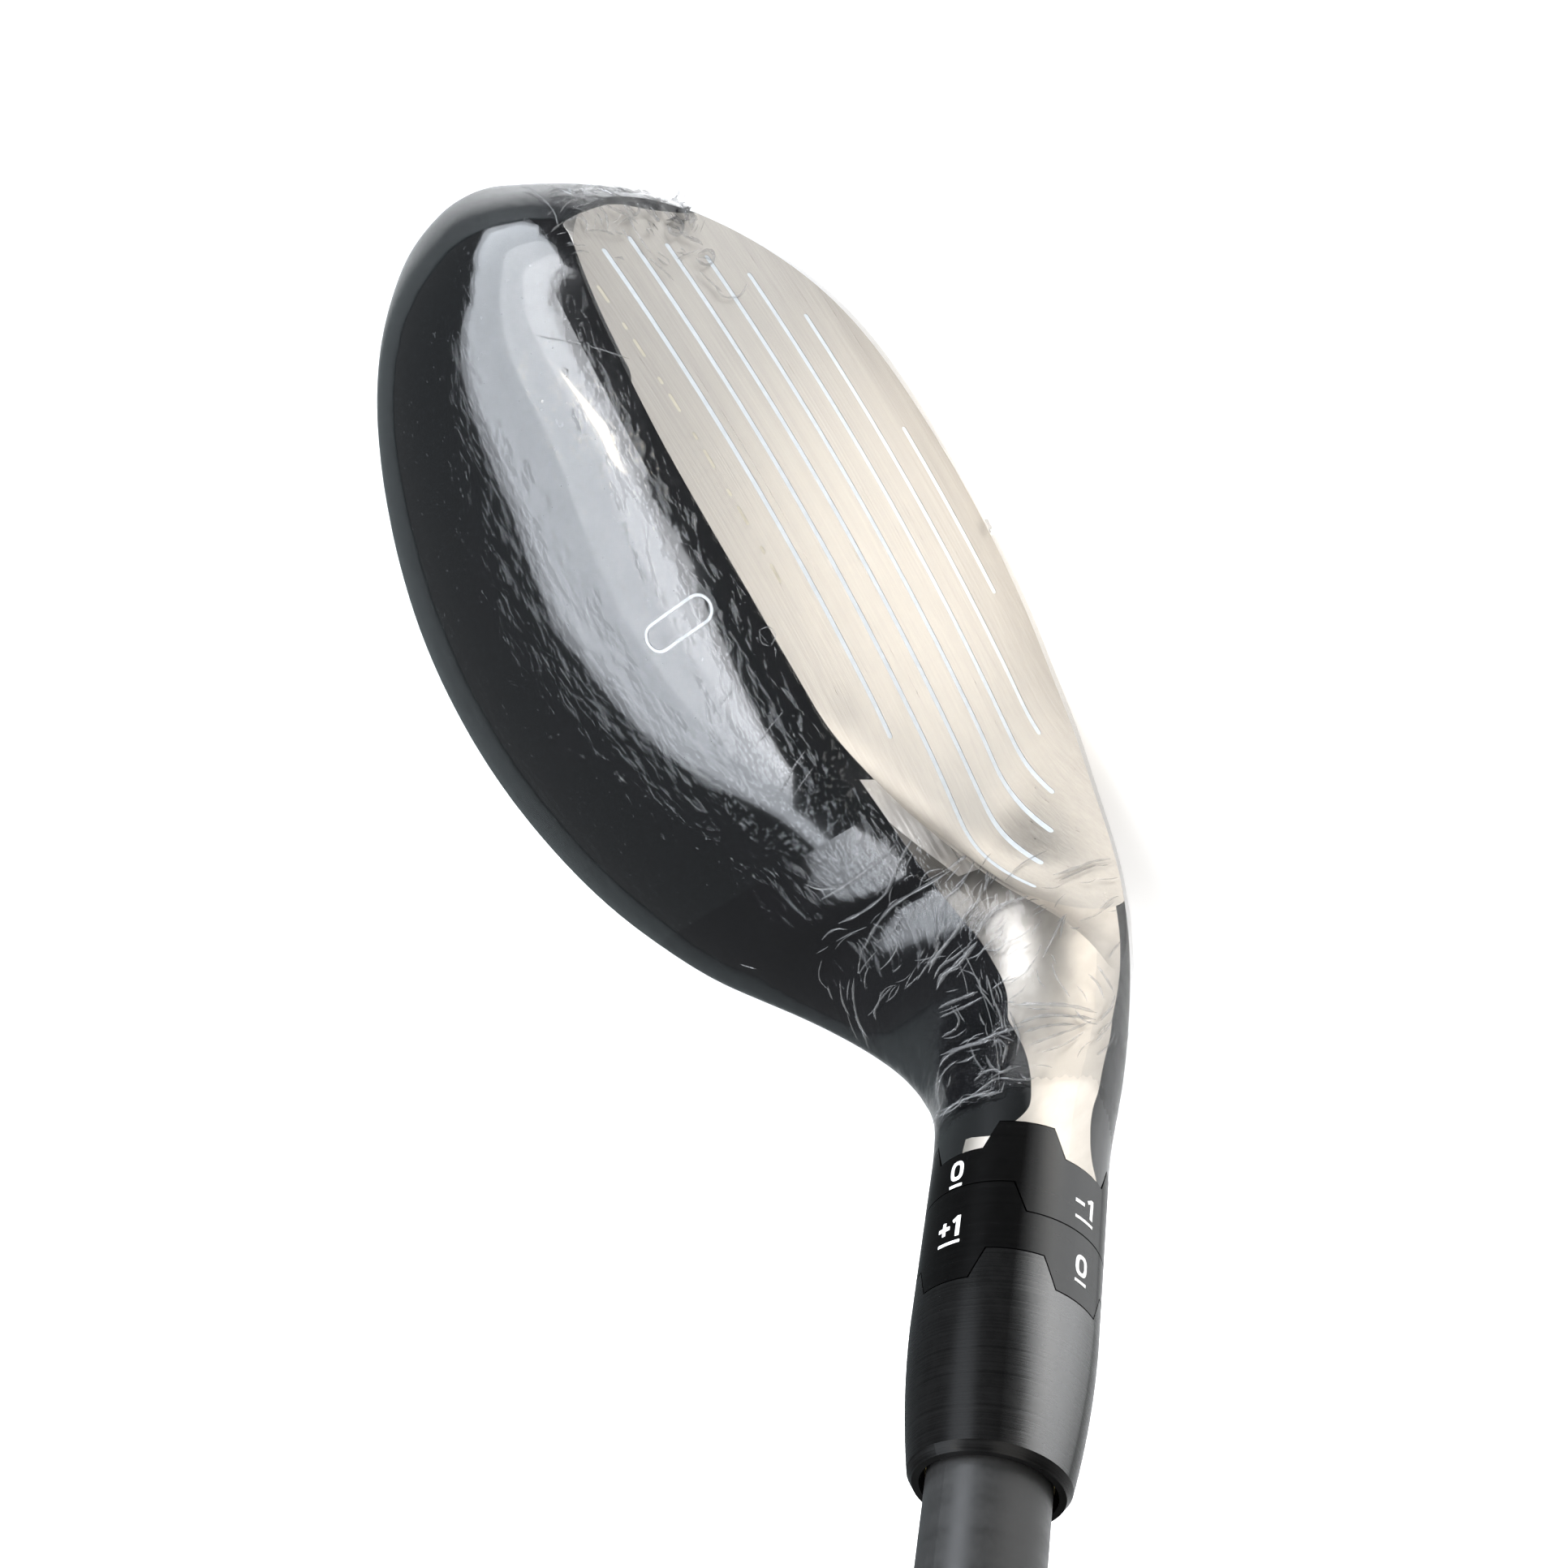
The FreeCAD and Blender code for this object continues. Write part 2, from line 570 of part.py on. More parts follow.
def outline_sketch(body, name, outline, turn=0.0):
    """Closed outline in the XZ plane turned about Z; a third entry is an arc's via point."""
    offset = Placement(Vector(), Rotation(Vector(0, 1, 0), turn))
    sketch = new_sketch(body, name, "XZ_Plane", offset)
    doc.recompute()
    corners = [Vector(evaluate(point[0]), evaluate(point[1]), 0) for point in outline]
    count = len(corners)
    starts, ends = [], []
    for i, point in enumerate(outline):
        here, there = corners[i], corners[(i + 1) % count]
        start, end = 1, 2
        if len(point) > 2:
            via = Vector(evaluate(point[2][0]), evaluate(point[2][1]), 0)
            sketch.addGeometry(Part.Arc(here, via, there), False)
            # the sketch may store the arc with its ends swapped
            first = sketch.Geometry[i].StartPoint
            if (first - here).Length > (first - there).Length:
                start, end = 2, 1
        else:
            sketch.addGeometry(Part.LineSegment(here, there), False)
        starts.append(start)
        ends.append(end)
    for i in range(count):
        following = (i + 1) % count
        sketch.addConstraint(
            Sketcher.Constraint("Coincident", i, ends[i], following, starts[following]))

    def bind_distance(kind, i, number, formula):
        index = sketch.addConstraint(
            Sketcher.Constraint(kind, -1, 1, i, starts[i], number))
        sketch.setExpression("Constraints[%d]" % index, bound(formula))
    for i, corner in enumerate(corners):
        if corner.x == 0.0:
            sketch.addConstraint(Sketcher.Constraint("PointOnObject", i, starts[i], -2))
        else:
            bind_distance("DistanceX", i, corner.x, outline[i][0])
        bind_distance("DistanceY", i, corner.y, outline[i][1])
    doc.recompute()
    return sketch


def revolve(body, outline, name="profile"):
    sketch = outline_sketch(body, name, outline)
    turned = body.newObject("PartDesign::Revolution", body.Name + "_turned")
    turned.Profile = sketch
    turned.ReferenceAxis = (sketch, ["V_Axis"])
    turned.Angle = 360.0
    doc.recompute()


def turned_body(name, outline, spin=0.0):
    body = new_body(name, spin)
    revolve(body, outline)
    return body


def tube(inner, outer_radius, low, high):
    """Outline of a plain tube, or of a rod if inner is "0"."""
    return [(inner, low), (outer_radius, low), (outer_radius, high), (inner, high)]


def trapezoid(half_low, low, half_high, high):
    return [("-(%s)" % half_low, low), (half_low, low),
            (half_high, high), ("-(%s)" % half_high, high)]


def notch(body, name, outline, count=1, turn=0.0):
    """Pocket right across the body, repeated about its axis."""
    before = body.Shape.Volume
    sketch = outline_sketch(body, name, outline, turn)
    pocket = body.newObject("PartDesign::Pocket", body.Name + "_" + name + "_cut")
    pocket.Profile = sketch
    pocket.Type = "ThroughAll"
    # the symmetric option has another name in some releases
    if "SideType" in pocket.PropertiesList:
        pocket.SideType = "Symmetric"
    else:
        pocket.Midplane = True
    doc.recompute()
    if count > 1:
        pattern = body.newObject("PartDesign::PolarPattern", body.Name + "_" + name + "_ring")
        pattern.Originals = [pocket]
        pattern.Axis = (origin_feature(body, "Z_Axis"), [""])
        pattern.Angle = 360.0
        pattern.Occurrences = count
        body.Tip = pattern
        doc.recompute()
    if not body.Shape.Volume < before - 0.5:
        raise RuntimeError(name + " removed nothing")


def star_socket(body, low, prefix):
    """Six-pointed recess rising from height low; prefix picks its sheet dimensions."""
    corner_count, valley_ratio = 12, 0.74
    radius = dim(prefix + "_socket_radius")
    before = body.Shape.Volume
    sketch = new_sketch(body, "socket", "XY_Plane", Placement(Vector(0, 0, low), Rotation()))
    corners = []
    for i in range(corner_count):
        angle = 2 * math.pi * i / corner_count
        reach = radius if i % 2 == 0 else radius * valley_ratio
        corners.append(Vector(reach * math.cos(angle), reach * math.sin(angle), 0))
    for i in range(corner_count):
        sketch.addGeometry(Part.LineSegment(corners[i], corners[(i + 1) % corner_count]), False)
    for i in range(corner_count):
        sketch.addConstraint(
            Sketcher.Constraint("Coincident", i, 2, (i + 1) % corner_count, 1))
    doc.recompute()
    pocket = body.newObject("PartDesign::Pocket", body.Name + "_socket_cut")
    pocket.Profile = sketch
    pocket.Type = "Length"
    pocket.setExpression("Length", "dims.%s_socket_depth" % prefix)
    # the pocket has to run up into the material, whichever way counts as reversed
    for reverse in (True, False):
        pocket.Reversed = reverse
        doc.recompute()
        if body.Shape.Volume < before - 0.5:
            return
    raise RuntimeError(body.Name + " socket missing")


def build_lower_ring():
    """Ring next to the head."""
    ring = turned_body("adjust_ring_lower", tube(
        "ring_bore", "ring_radius", "hosel_notch + seam_gap", "mid_far - seam_gap / 2"), 89.5)
    notch(ring, "head_side", trapezoid(
        "notch_half_wide + notch_flare", "hosel_notch - head_side_overrun",
        "notch_half_thin + notch_fit_lower", "hosel_end + seam_gap"), 4)
    notch(ring, "mid_side", trapezoid(
        "mid_half_thin + mid_fit", "mid_near - seam_gap / 2",
        "mid_half_wide + mid_flare", "mid_far + cut_overrun"))


def build_upper_ring():
    """Ring next to the sleeve collar."""
    ring = turned_body("adjust_ring_upper", tube(
        "ring_bore", "ring_radius", "mid_near + seam_gap / 2", "top_far - seam_gap / 2"), -0.5)
    notch(ring, "mid_side", trapezoid(
        "mid_half_wide + mid_flare", "mid_near - cut_overrun",
        "mid_half_thin + mid_fit", "mid_far + seam_gap / 2"))
    notch(ring, "sleeve_side", trapezoid(
        "notch_half_thin + notch_fit_upper", "top_near - seam_gap / 2",
        "notch_half_wide + notch_flare", "top_far + cut_overrun"), 4, 45.0)


def build_sleeve():
    """Notched, tapered collar first, then the barrel that carries the rings."""
    sleeve = turned_body("adapter_sleeve", [
        ("barrel_radius - collar_overlap", "top_near + seam_gap / 2"),
        ("ring_radius", "top_near + seam_gap / 2"),
        ("ring_radius", "collar_straight_end", ("collar_via_radius", "collar_via")),
        ("rim_radius", "sleeve_rim - rim_edge_drop"),
        ("rim_radius - rim_edge_in", "sleeve_rim + rim_rise"),
        ("sleeve_bore + mouth_flare", "sleeve_rim + rim_rise"),
        ("sleeve_bore", "sleeve_rim - mouth_depth"),
        ("sleeve_bore", "collar_bore_low"),
        ("barrel_radius - collar_overlap", "collar_bore_low")], -0.5)
    notch(sleeve, "collar", trapezoid(
        "notch_half_wide + notch_flare", "top_near - cut_overrun",
        "notch_half_thin + notch_fit_upper", "top_far + seam_gap / 2"), 4)
    # the barrel comes after the notches, so they leave it whole
    revolve(sleeve, [
        ("sleeve_bore", "sleeve_step"), ("sleeve_bore", "barrel_end"),
        ("barrel_radius", "barrel_end"), ("barrel_radius", "sleeve_low + sleeve_chamfer"),
        ("barrel_radius - sleeve_chamfer", "sleeve_low"),
        ("insert_bore", "sleeve_low"), ("insert_bore", "sleeve_step")], "barrel")


def build_screw():
    """Captive screw with a clip groove round its shank."""
    screw = turned_body("hosel_screw", [
        ("0", "screw_low"), ("screw_head - screw_chamfer", "screw_low"),
        ("screw_head", "screw_low + screw_chamfer"), ("screw_head", "screw_seat"),
        ("screw_shank", "screw_seat"), ("screw_shank", "clip_low - small_fit"),
        ("screw_shank - clip_groove_depth", "clip_low - small_fit"),
        ("screw_shank - clip_groove_depth", "clip_top + small_fit"),
        ("screw_shank", "clip_top + small_fit"),
        ("screw_shank", "screw_tip - screw_tip_chamfer"),
        ("screw_shank - screw_tip_chamfer", "screw_tip"), ("0", "screw_tip")])
    star_socket(screw, dim("screw_low"), "screw")


def build_small_tubes():
    """Insert, clips, washer, shaft bond and tip plug: all plain tubes or rods."""
    turned_body("thread_insert", tube(
        "screw_shank + small_fit", "insert_bore", "sleeve_low + insert_inset", "insert_top"))
    turned_body("ring_guide_clip", tube(
        "barrel_radius + small_fit", "guide_radius", "guide_low", "guide_top"))
    turned_body("screw_washer", tube(
        "screw_shank + washer_fit", "screw_head", "screw_seat + washer_gap", "washer_top"))
    turned_body("screw_retaining_clip", tube(
        "screw_shank - clip_bore_inset", "clip_radius", "clip_low", "clip_top"))
    turned_body("shaft_bond", tube(
        "tip_radius", "sleeve_bore", "shaft_low", "sleeve_rim - bond_drop"))
    turned_body("tip_plug", tube(
        "0", "tip_radius - shaft_wall", "shaft_low", "shaft_low + plug_length"))


def build_shaft():
    turned_body("shaft", [
        ("tip_radius - shaft_wall", "shaft_low"), ("tip_radius", "shaft_low"),
        ("tip_radius", "tip_parallel"), ("butt_radius", "taper_end"),
        ("butt_radius", "shaft_end"), ("butt_radius - butt_wall", "shaft_end"),
        ("butt_radius - butt_wall", "taper_end"), ("tip_radius - shaft_wall", "tip_parallel")])


def build_grip_tape():
    turned_body("grip_tape", [
        ("grip_under", "grip_low"), ("grip_under + tape_wall", "grip_low"),
        ("tape_radius", "taper_end"), ("tape_radius", "shaft_end"),
        ("butt_radius", "shaft_end"), ("butt_radius", "taper_end")])


def build_grip():
    turned_body("grip", [
        ("grip_under + tape_wall", "grip_low"), ("grip_mouth - mouth_chamfer", "grip_low"),
        ("grip_mouth", "grip_low + grip_ramp"), ("grip_mouth", "grip_low + grip_groove_low"),
        ("grip_mouth - grip_groove_depth", "grip_low + grip_groove_low + grip_ramp"),
        ("grip_mouth - grip_groove_depth", "grip_low + grip_groove_top"),
        ("grip_mouth + grip_step", "grip_low + grip_groove_top + grip_ramp"),
        ("grip_mouth + grip_mid_swell", "grip_low + grip_mid_rise"),
        ("grip_butt", "grip_end"), ("tape_radius", "grip_end"), ("tape_radius", "taper_end")])


def build_grip_cap():
    turned_body("grip_cap", [
        ("vent_radius", "shaft_end + cap_gap"), ("butt_radius", "shaft_end + cap_gap"),
        ("butt_radius", "grip_end"), ("cap_radius - cap_chamfer", "grip_end"),
        ("cap_radius", "grip_end + cap_chamfer_length"),
        ("cap_radius", "grip_end + cap_band_top"),
        ("cap_radius - cap_shoulder", "cap_end - cap_shoulder_drop"),
        ("cap_radius - cap_end_inset", "cap_end"), ("vent_radius", "cap_end")])


def build_sole_weight():
    """Weight screw, upright under the rear of the sole."""
    weight = new_body("sole_weight")
    weight.Placement = Placement(SHIFT + Vector(dim("weight_x"), dim("weight_y"), 0), Rotation())
    bind_base(weight, "dims.weight_x - dims.origin_x", "dims.weight_y - dims.origin_y")
    revolve(weight, [
        ("0", "weight_low"), ("weight_radius - weight_low_chamfer", "weight_low"),
        ("weight_radius", "weight_low + weight_low_chamfer"),
        ("weight_radius", "weight_top - weight_top_chamfer"),
        ("weight_radius - weight_top_chamfer", "weight_top"), ("0", "weight_top")])
    star_socket(weight, dim("weight_low"), "weight")


build_lower_ring()
build_upper_ring()
build_sleeve()
build_small_tubes()
build_screw()
build_shaft()
build_grip_tape()
build_grip()
build_grip_cap()
build_sole_weight()


# --------------------------------------------------------- dial number marks
def rectangle(x0, y0, x1, y1):
    return [(x0, y0), (x1, y0), (x1, y1), (x0, y1)]


# Outlines as (arc, rise) points, rise towards the head
GLYPHS = {
    "+": [(-0.17, -0.6), (0.17, -0.6), (0.17, -0.17), (0.6, -0.17), (0.6, 0.17), (0.17, 0.17),
          (0.17, 0.6), (-0.17, 0.6), (-0.17, 0.17), (-0.6, 0.17), (-0.6, -0.17), (-0.17, -0.17)],
    "-": rectangle(-0.5, -0.16, 0.5, 0.16),
    "1": [(-0.02, -0.95), (0.36, -0.95), (0.36, 0.95), (0.06, 0.95), (-0.42, 0.6),
          (-0.28, 0.34), (-0.02, 0.5)],
    "2": [(-0.6, -0.95), (0.62, -0.95), (0.62, -0.6), (-0.02, -0.6), (0.6, 0.2), (0.6, 0.7),
          (0.32, 0.95), (-0.3, 0.95), (-0.6, 0.66), (-0.6, 0.36), (-0.24, 0.36), (-0.12, 0.6),
          (0.12, 0.6), (0.22, 0.45), (0.22, 0.28), (-0.6, -0.66)],
}
GLYPH_OFFSET = 0.62
ZERO_HALF_WIDE, ZERO_HALF_TALL, ZERO_STROKE = 0.66, 0.95, 0.34
# Length of the bar under each text, and the rise of the bar's two edges
BAR_LENGTH = {"0": 1.3, "+1": 2.2, "-1": 2.1, "+2": 2.6}
BAR_LOW, BAR_HIGH = -1.62, -1.36
MARK_THICK = 0.035


def squared_oval(half_wide, half_tall):
    count, power = 28, 0.75
    points = []
    for i in range(count):
        angle = 2 * math.pi * i / count
        across, along = math.cos(angle), math.sin(angle)
        points.append((half_wide * math.copysign(abs(across) ** power, across),
                       half_tall * math.copysign(abs(along) ** power, along)))
    return points


def mark_prisms(theta, station, text):
    def prism(points):
        return shaft_prism([(-x, -y) for x, y in points], -12, 8, theta, station)
    if text == "0":
        hole = squared_oval(ZERO_HALF_WIDE - ZERO_STROKE, ZERO_HALF_TALL - ZERO_STROKE)
        prisms = [prism(squared_oval(ZERO_HALF_WIDE, ZERO_HALF_TALL)).cut(prism(hole))]
    else:
        prisms = [prism([(x + offset, y) for x, y in GLYPHS[glyph]])
                  for glyph, offset in zip(text, (-GLYPH_OFFSET, GLYPH_OFFSET))]
    half_bar = BAR_LENGTH[text] / 2
    return prisms + [prism(rectangle(-half_bar, BAR_LOW, half_bar, BAR_HIGH))]


def build_marks(name, items):
    radius = dim("ring_radius")
    layer = axial(radius + MARK_THICK, 50, 67).cut(axial(radius, 49, 68))
    head_node(name, Part.makeCompound([
        largest(prism.common(layer)) for item in items for prism in mark_prisms(*item)]))


# Each mark: angle from the toe side towards the front, station, text
build_marks("ring_marks_lower", [
    (1.0, 55.35, "0"), (91.0, 56.9, "-1"), (181.0, 55.35, "0"), (271.0, 56.9, "+1")])
build_marks("ring_marks_upper", [
    (1.0, 60.9, "+1"), (91.0, 62.6, "0"), (181.0, 60.9, "+2"), (271.0, 62.6, "0")])
doc.recompute()

# ---------------------------------------------------------- checks and export
for item in doc.Objects:
    bad = [state for state in item.State if "Invalid" in state or "Error" in state]
    if bad:
        raise RuntimeError("%s: %s" % (item.Name, bad))
for node in nodes:
    if node.Shape.isNull() or not node.Shape.isValid():
        raise RuntimeError(node.Label + " is not valid")
    if not node.Shape.Solids:
        raise RuntimeError(node.Label + " has no solid")
os.makedirs("parts", exist_ok=True)
for node in nodes:
    node.Shape.exportStep("parts/%s.step" % node.Label)
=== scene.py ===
# An 18-degree golf club with a painted head in clear film, an adjustable hosel and a moulded grip.
# The head stands on the floor (z = 0): +X is towards the toe, -Y is in front of the face, +Z is up,
# and the shaft rises towards -X.
import bpy
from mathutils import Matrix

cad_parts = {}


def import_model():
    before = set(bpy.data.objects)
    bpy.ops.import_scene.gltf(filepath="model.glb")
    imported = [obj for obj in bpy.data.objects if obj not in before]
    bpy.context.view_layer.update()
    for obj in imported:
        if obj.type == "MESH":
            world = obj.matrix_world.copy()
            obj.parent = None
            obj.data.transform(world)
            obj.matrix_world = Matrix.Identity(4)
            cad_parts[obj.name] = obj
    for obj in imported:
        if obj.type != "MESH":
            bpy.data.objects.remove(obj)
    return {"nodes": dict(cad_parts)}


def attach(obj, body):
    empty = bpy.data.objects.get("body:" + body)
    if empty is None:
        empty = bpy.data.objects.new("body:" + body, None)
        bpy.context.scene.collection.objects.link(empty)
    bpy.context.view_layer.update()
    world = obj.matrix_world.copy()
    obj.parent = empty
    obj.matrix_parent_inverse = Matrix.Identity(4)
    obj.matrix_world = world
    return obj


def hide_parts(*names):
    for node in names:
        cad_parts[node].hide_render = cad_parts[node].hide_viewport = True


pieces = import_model()["nodes"]

import bpy, bmesh, math
import numpy as np
from mathutils import Vector, Matrix
from mathutils.bvhtree import BVHTree

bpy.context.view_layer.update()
lean_rng = np.random.default_rng(7)

# ------------------------------------------------------------ club geometry
# Lengths are in mm in the club's working frame, whose origin lies on the shaft axis.
MM = 0.001
LIE, LOFT = math.radians(58.5), math.radians(18.0)
SCENE_ORIGIN = np.array([34.79, 6.2, 0.0])
AXIS = np.array([-math.cos(LIE), 0, math.sin(LIE)])      # up the shaft
ACROSS = np.array([math.sin(LIE), 0, math.cos(LIE)])     # square to it, towards the toe
Y_AXIS = np.array([0, 1, 0])

# --------------------------------------------------------------- main view
# Marks are placed as seen in the main view: points (right, down) in mm from the view's centre,
# on a plane VIEW_DISTANCE in front of the camera.
CAM_AXES = np.array([[-0.50878, -0.69394, -0.5095],      # right
                     [-0.85968, 0.4409, 0.25797],        # down
                     [0.04562, 0.56926, -0.82089]])      # forward
CAM_PLACE = np.array([4.36897636, -94.40466164, 180.16991726])
VIEW_DISTANCE = 240.2323
VIEW_WIDTH = 193.2                                       # of the square frame, on that plane


def scene(point):
    """Working frame in mm to scene metres."""
    return (np.asarray(point, float) - SCENE_ORIGIN) * MM


def frame_share(place):
    """View-plane mm to a share of the frame, 0 to 1."""
    return place / VIEW_WIDTH + 0.5


def view_ray(right, down):
    ray = np.array([right / VIEW_DISTANCE, down / VIEW_DISTANCE, 1.0]) @ CAM_AXES
    return ray / np.linalg.norm(ray)


def unit(vectors, tiny=0.0):
    return vectors / (np.linalg.norm(vectors, axis=-1, keepdims=True) + tiny)


def smoothstep(x):
    return x * x * (3 - 2 * x)


# ------------------------------------------------------------ shader helpers
class Nodes:
    """Node tree of a material or world, with short ways to add to it."""

    def __init__(self, owner, surface):
        owner.use_nodes = True
        self.owner = owner
        self.tree = owner.node_tree
        self.surface = self.tree.nodes[surface]

    def add(self, kind):
        return self.tree.nodes.new("ShaderNode" + kind)

    def put(self, value, socket):
        """Set a socket to a number, vector or colour, or link it."""
        if isinstance(value, tuple) and socket.type == "RGBA":
            value = (*value, 1)
        if isinstance(value, (int, float, tuple)):
            socket.default_value = value
        else:
            self.tree.links.new(value, socket)

    def set(self, **inputs):
        for name, value in inputs.items():
            self.put(value, self.surface.inputs[name.replace("_", " ")])

    def coords(self, scale=(1, 1, 1), rotation=(0, 0, 0)):
        source = self.add("TexCoord")
        mapping = self.add("Mapping")
        self.put(scale, mapping.inputs["Scale"])
        self.put(rotation, mapping.inputs["Rotation"])
        self.put(source.outputs["Object"], mapping.inputs["Vector"])
        return mapping.outputs["Vector"]

    def noise(self, vector, scale, detail=3.0, rough=0.5):
        node = self.add("TexNoise")
        self.put(scale, node.inputs["Scale"])
        self.put(detail, node.inputs["Detail"])
        self.put(rough, node.inputs["Roughness"])
        self.put(vector, node.inputs["Vector"])
        return node.outputs["Fac"]

    def ramp(self, factor, *stops):
        """Stops are (position, colour); a single number is a grey."""
        node = self.add("ValToRGB")
        elements = node.color_ramp.elements
        while len(elements) < len(stops):
            elements.new(0.5)
        for i, (position, colour) in enumerate(stops):
            elements[i].position = position
            elements[i].color = (*(colour if isinstance(colour, tuple) else (colour,) * 3), 1)
        self.put(factor, node.inputs["Fac"])
        return node.outputs["Color"]

    def math(self, operation, a, b):
        node = self.add("Math")
        node.operation = operation
        self.put(a, node.inputs[0])
        self.put(b, node.inputs[1])
        return node.outputs[0]

    def times(self, a, b):
        return self.math("MULTIPLY", a, b)

    def plus(self, a, b):
        return self.math("ADD", a, b)

    def minus(self, a, b):
        return self.math("SUBTRACT", a, b)

    def vector(self, operation, a, b=None):
        node = self.add("VectorMath")
        node.operation = operation
        self.put(a, node.inputs[0])
        if b is not None:
            self.put(b, node.inputs[1])
        return node.outputs["Value" if operation in ("DOT_PRODUCT", "LENGTH") else "Vector"]

    def dot(self, a, b):
        return self.vector("DOT_PRODUCT", a, b)

    def mix(self, factor, a, b, kind="RGBA"):
        first, second, result = {"RGBA": (6, 7, 2), "FLOAT": (2, 3, 0)}[kind]
        node = self.add("Mix")
        node.data_type = kind
        self.put(factor, node.inputs[0])
        self.put(a, node.inputs[first])
        self.put(b, node.inputs[second])
        return node.outputs[result]

    def map_range(self, value, low, high):
        node = self.add("MapRange")
        self.put(low, node.inputs["From Min"])
        self.put(high, node.inputs["From Max"])
        self.put(value, node.inputs["Value"])
        return node.outputs["Result"]

    def soft_step(self, value, width=0.0006):
        """0 below 0, 1 above width."""
        return self.map_range(value, 0.0, width)

    def bump(self, height, strength, distance):
        node = self.add("Bump")
        self.put(strength, node.inputs["Strength"])
        self.put(distance, node.inputs["Distance"])
        self.put(height, node.inputs["Height"])
        self.set(Normal=node.outputs["Normal"])


def new_material(name, base, rough, metallic=0.0, **inputs):
    sh = Nodes(bpy.data.materials.new(name), "Principled BSDF")
    sh.set(Base_Color=base, Metallic=metallic, Roughness=rough, **inputs)
    return sh


def paint(obj, material):
    obj.data.materials.clear()
    obj.data.materials.append(material)


def view_coords(sh):
    """Frame shares (right, down) of a shaded point in the main view, and its facing."""
    source = sh.add("TexCoord")
    sight = sh.vector("SUBTRACT", source.outputs["Object"], tuple(scene(CAM_PLACE)))
    right, down, depth = [sh.dot(sight, tuple(axis)) for axis in CAM_AXES]
    shares = [sh.plus(sh.times(sh.math("DIVIDE", part, depth), VIEW_DISTANCE / VIEW_WIDTH), 0.5)
              for part in (right, down)]
    facing = sh.dot(sh.vector("NORMALIZE", sight), source.outputs["Normal"])
    return *shares, facing


def mask_line(sh, along, points):
    """Frame share of a masking line through view-plane points (along, across)."""
    first, last = points[0][0], points[-1][0]
    spots = [((a - first) / (last - first), frame_share(b)) for a, b in points]
    node = sh.add("FloatCurve")
    mapping = node.mapping
    mapping.use_clip = False
    line = mapping.curves[0]
    line.points[0].location = spots[0]
    line.points[1].location = spots[-1]
    for spot in spots[1:-1]:
        line.points.new(*spot)
    for point in line.points:
        point.handle_type = "AUTO_CLAMPED"
    mapping.update()
    sh.put(sh.map_range(along, frame_share(first), frame_share(last)), node.inputs["Value"])
    return node.outputs["Value"]


# --------------------------------------------------------- paint and brushed metal
BODY_BLACK = dict(base=(0.0022, 0.0024, 0.0027), fleck=(0.03, 0.032, 0.036), amount=0.2)

# Masking lines of the bare metal at the hosel: (down, right)
BARE_LEFT_TOP = [(-6.6, 5.0), (3.4, 12.0), (9.5, 16.3), (12.3, 18.4), (16.3, 21.6), (18.9, 23.8),
                 (21.6, 25.5), (24.5, 27.0), (27.0, 27.5)]
BARE_LEFT = BARE_LEFT_TOP + [
    (28.5, 27.5), (30.6, 28.5), (32.6, 29.5), (35.2, 30.2), (37.8, 30.4), (39.6, 30.2),
    (41.0, 29.1), (42.0, 27.8), (43.2, 26.4), (43.7, 22.4), (53.4, 21.4)]
BARE_RIGHT = [
    (-6.6, 35.5), (-0.2, 37.5), (3.0, 38.6), (6.6, 39.5), (9.4, 40.0), (13.4, 40.7), (18.4, 41.4),
    (20.9, 41.5), (23.4, 41.4), (26.4, 41.0), (28.4, 40.6), (31.4, 40.2), (33.4, 39.7),
    (35.2, 39.3), (37.8, 38.8), (40.1, 38.1), (43.5, 37.8), (46.4, 38.0), (49.3, 38.6),
    (53.4, 39.0)]
FACE_HEEL_LEFT = BARE_LEFT_TOP + [(33.4, 29.6)]
# Masking lines of the toe corner of the face: (down, right), then (right, down)
FACE_TOE_LEFT = [
    (-73.6, -26.6), (-69.1, -27.3), (-67.9, -26.6), (-63.3, -24.8), (-59.9, -23.4),
    (-56.6, -21.9), (-53.3, -20.3), (-49.9, -18.9), (-48.1, -20.6), (-46.6, -32.6), (3.4, -46.6)]
FACE_TOE_TOP = [
    (-36.6, -63.6), (-28.1, -66.6), (-27.3, -69.0), (-26.1, -69.9), (-24.3, -70.7),
    (-20.9, -71.5), (-16.3, -70.8), (-11.6, -70.4), (-7.6, -70.4), (-2.6, -72.6),
    (3.4, -76.6), (43.4, -86.6)]
BARE_TOP, HEEL_TOP = -6.1, -0.6      # the bare areas start below these heights in the view
TOWARDS_CAMERA = -0.02               # facing is below this on surfaces the camera sees


def gloss_paint(sh, base, fleck, amount, rough=(0.10, 0.2)):
    """Dark paint with fine fleck; returns its colour and roughness."""
    place = sh.coords()
    grain = sh.ramp(sh.noise(place, scale=6500, detail=1.0), (0.60, 0), (0.78, 1))
    clouds = sh.noise(place, scale=40)
    colour = sh.mix(sh.times(grain, amount), base, fleck)
    colour = sh.mix(sh.times(clouds, 0.5), colour, tuple(x * 0.6 for x in base))
    wear = sh.noise(place, scale=1100, detail=4.0, rough=0.7)
    return colour, sh.ramp(wear, (0.5, rough[0]), (0.8, rough[1]))


def edge_fade(sh, specular):
    """Fade the specular level where the surface is seen edge-on; returns the fade."""
    fade = sh.ramp(sh.add("LayerWeight").outputs["Facing"], (0.55, 1), (0.9, 0.12))
    sh.set(Specular_IOR_Level=sh.times(fade, specular))
    return fade


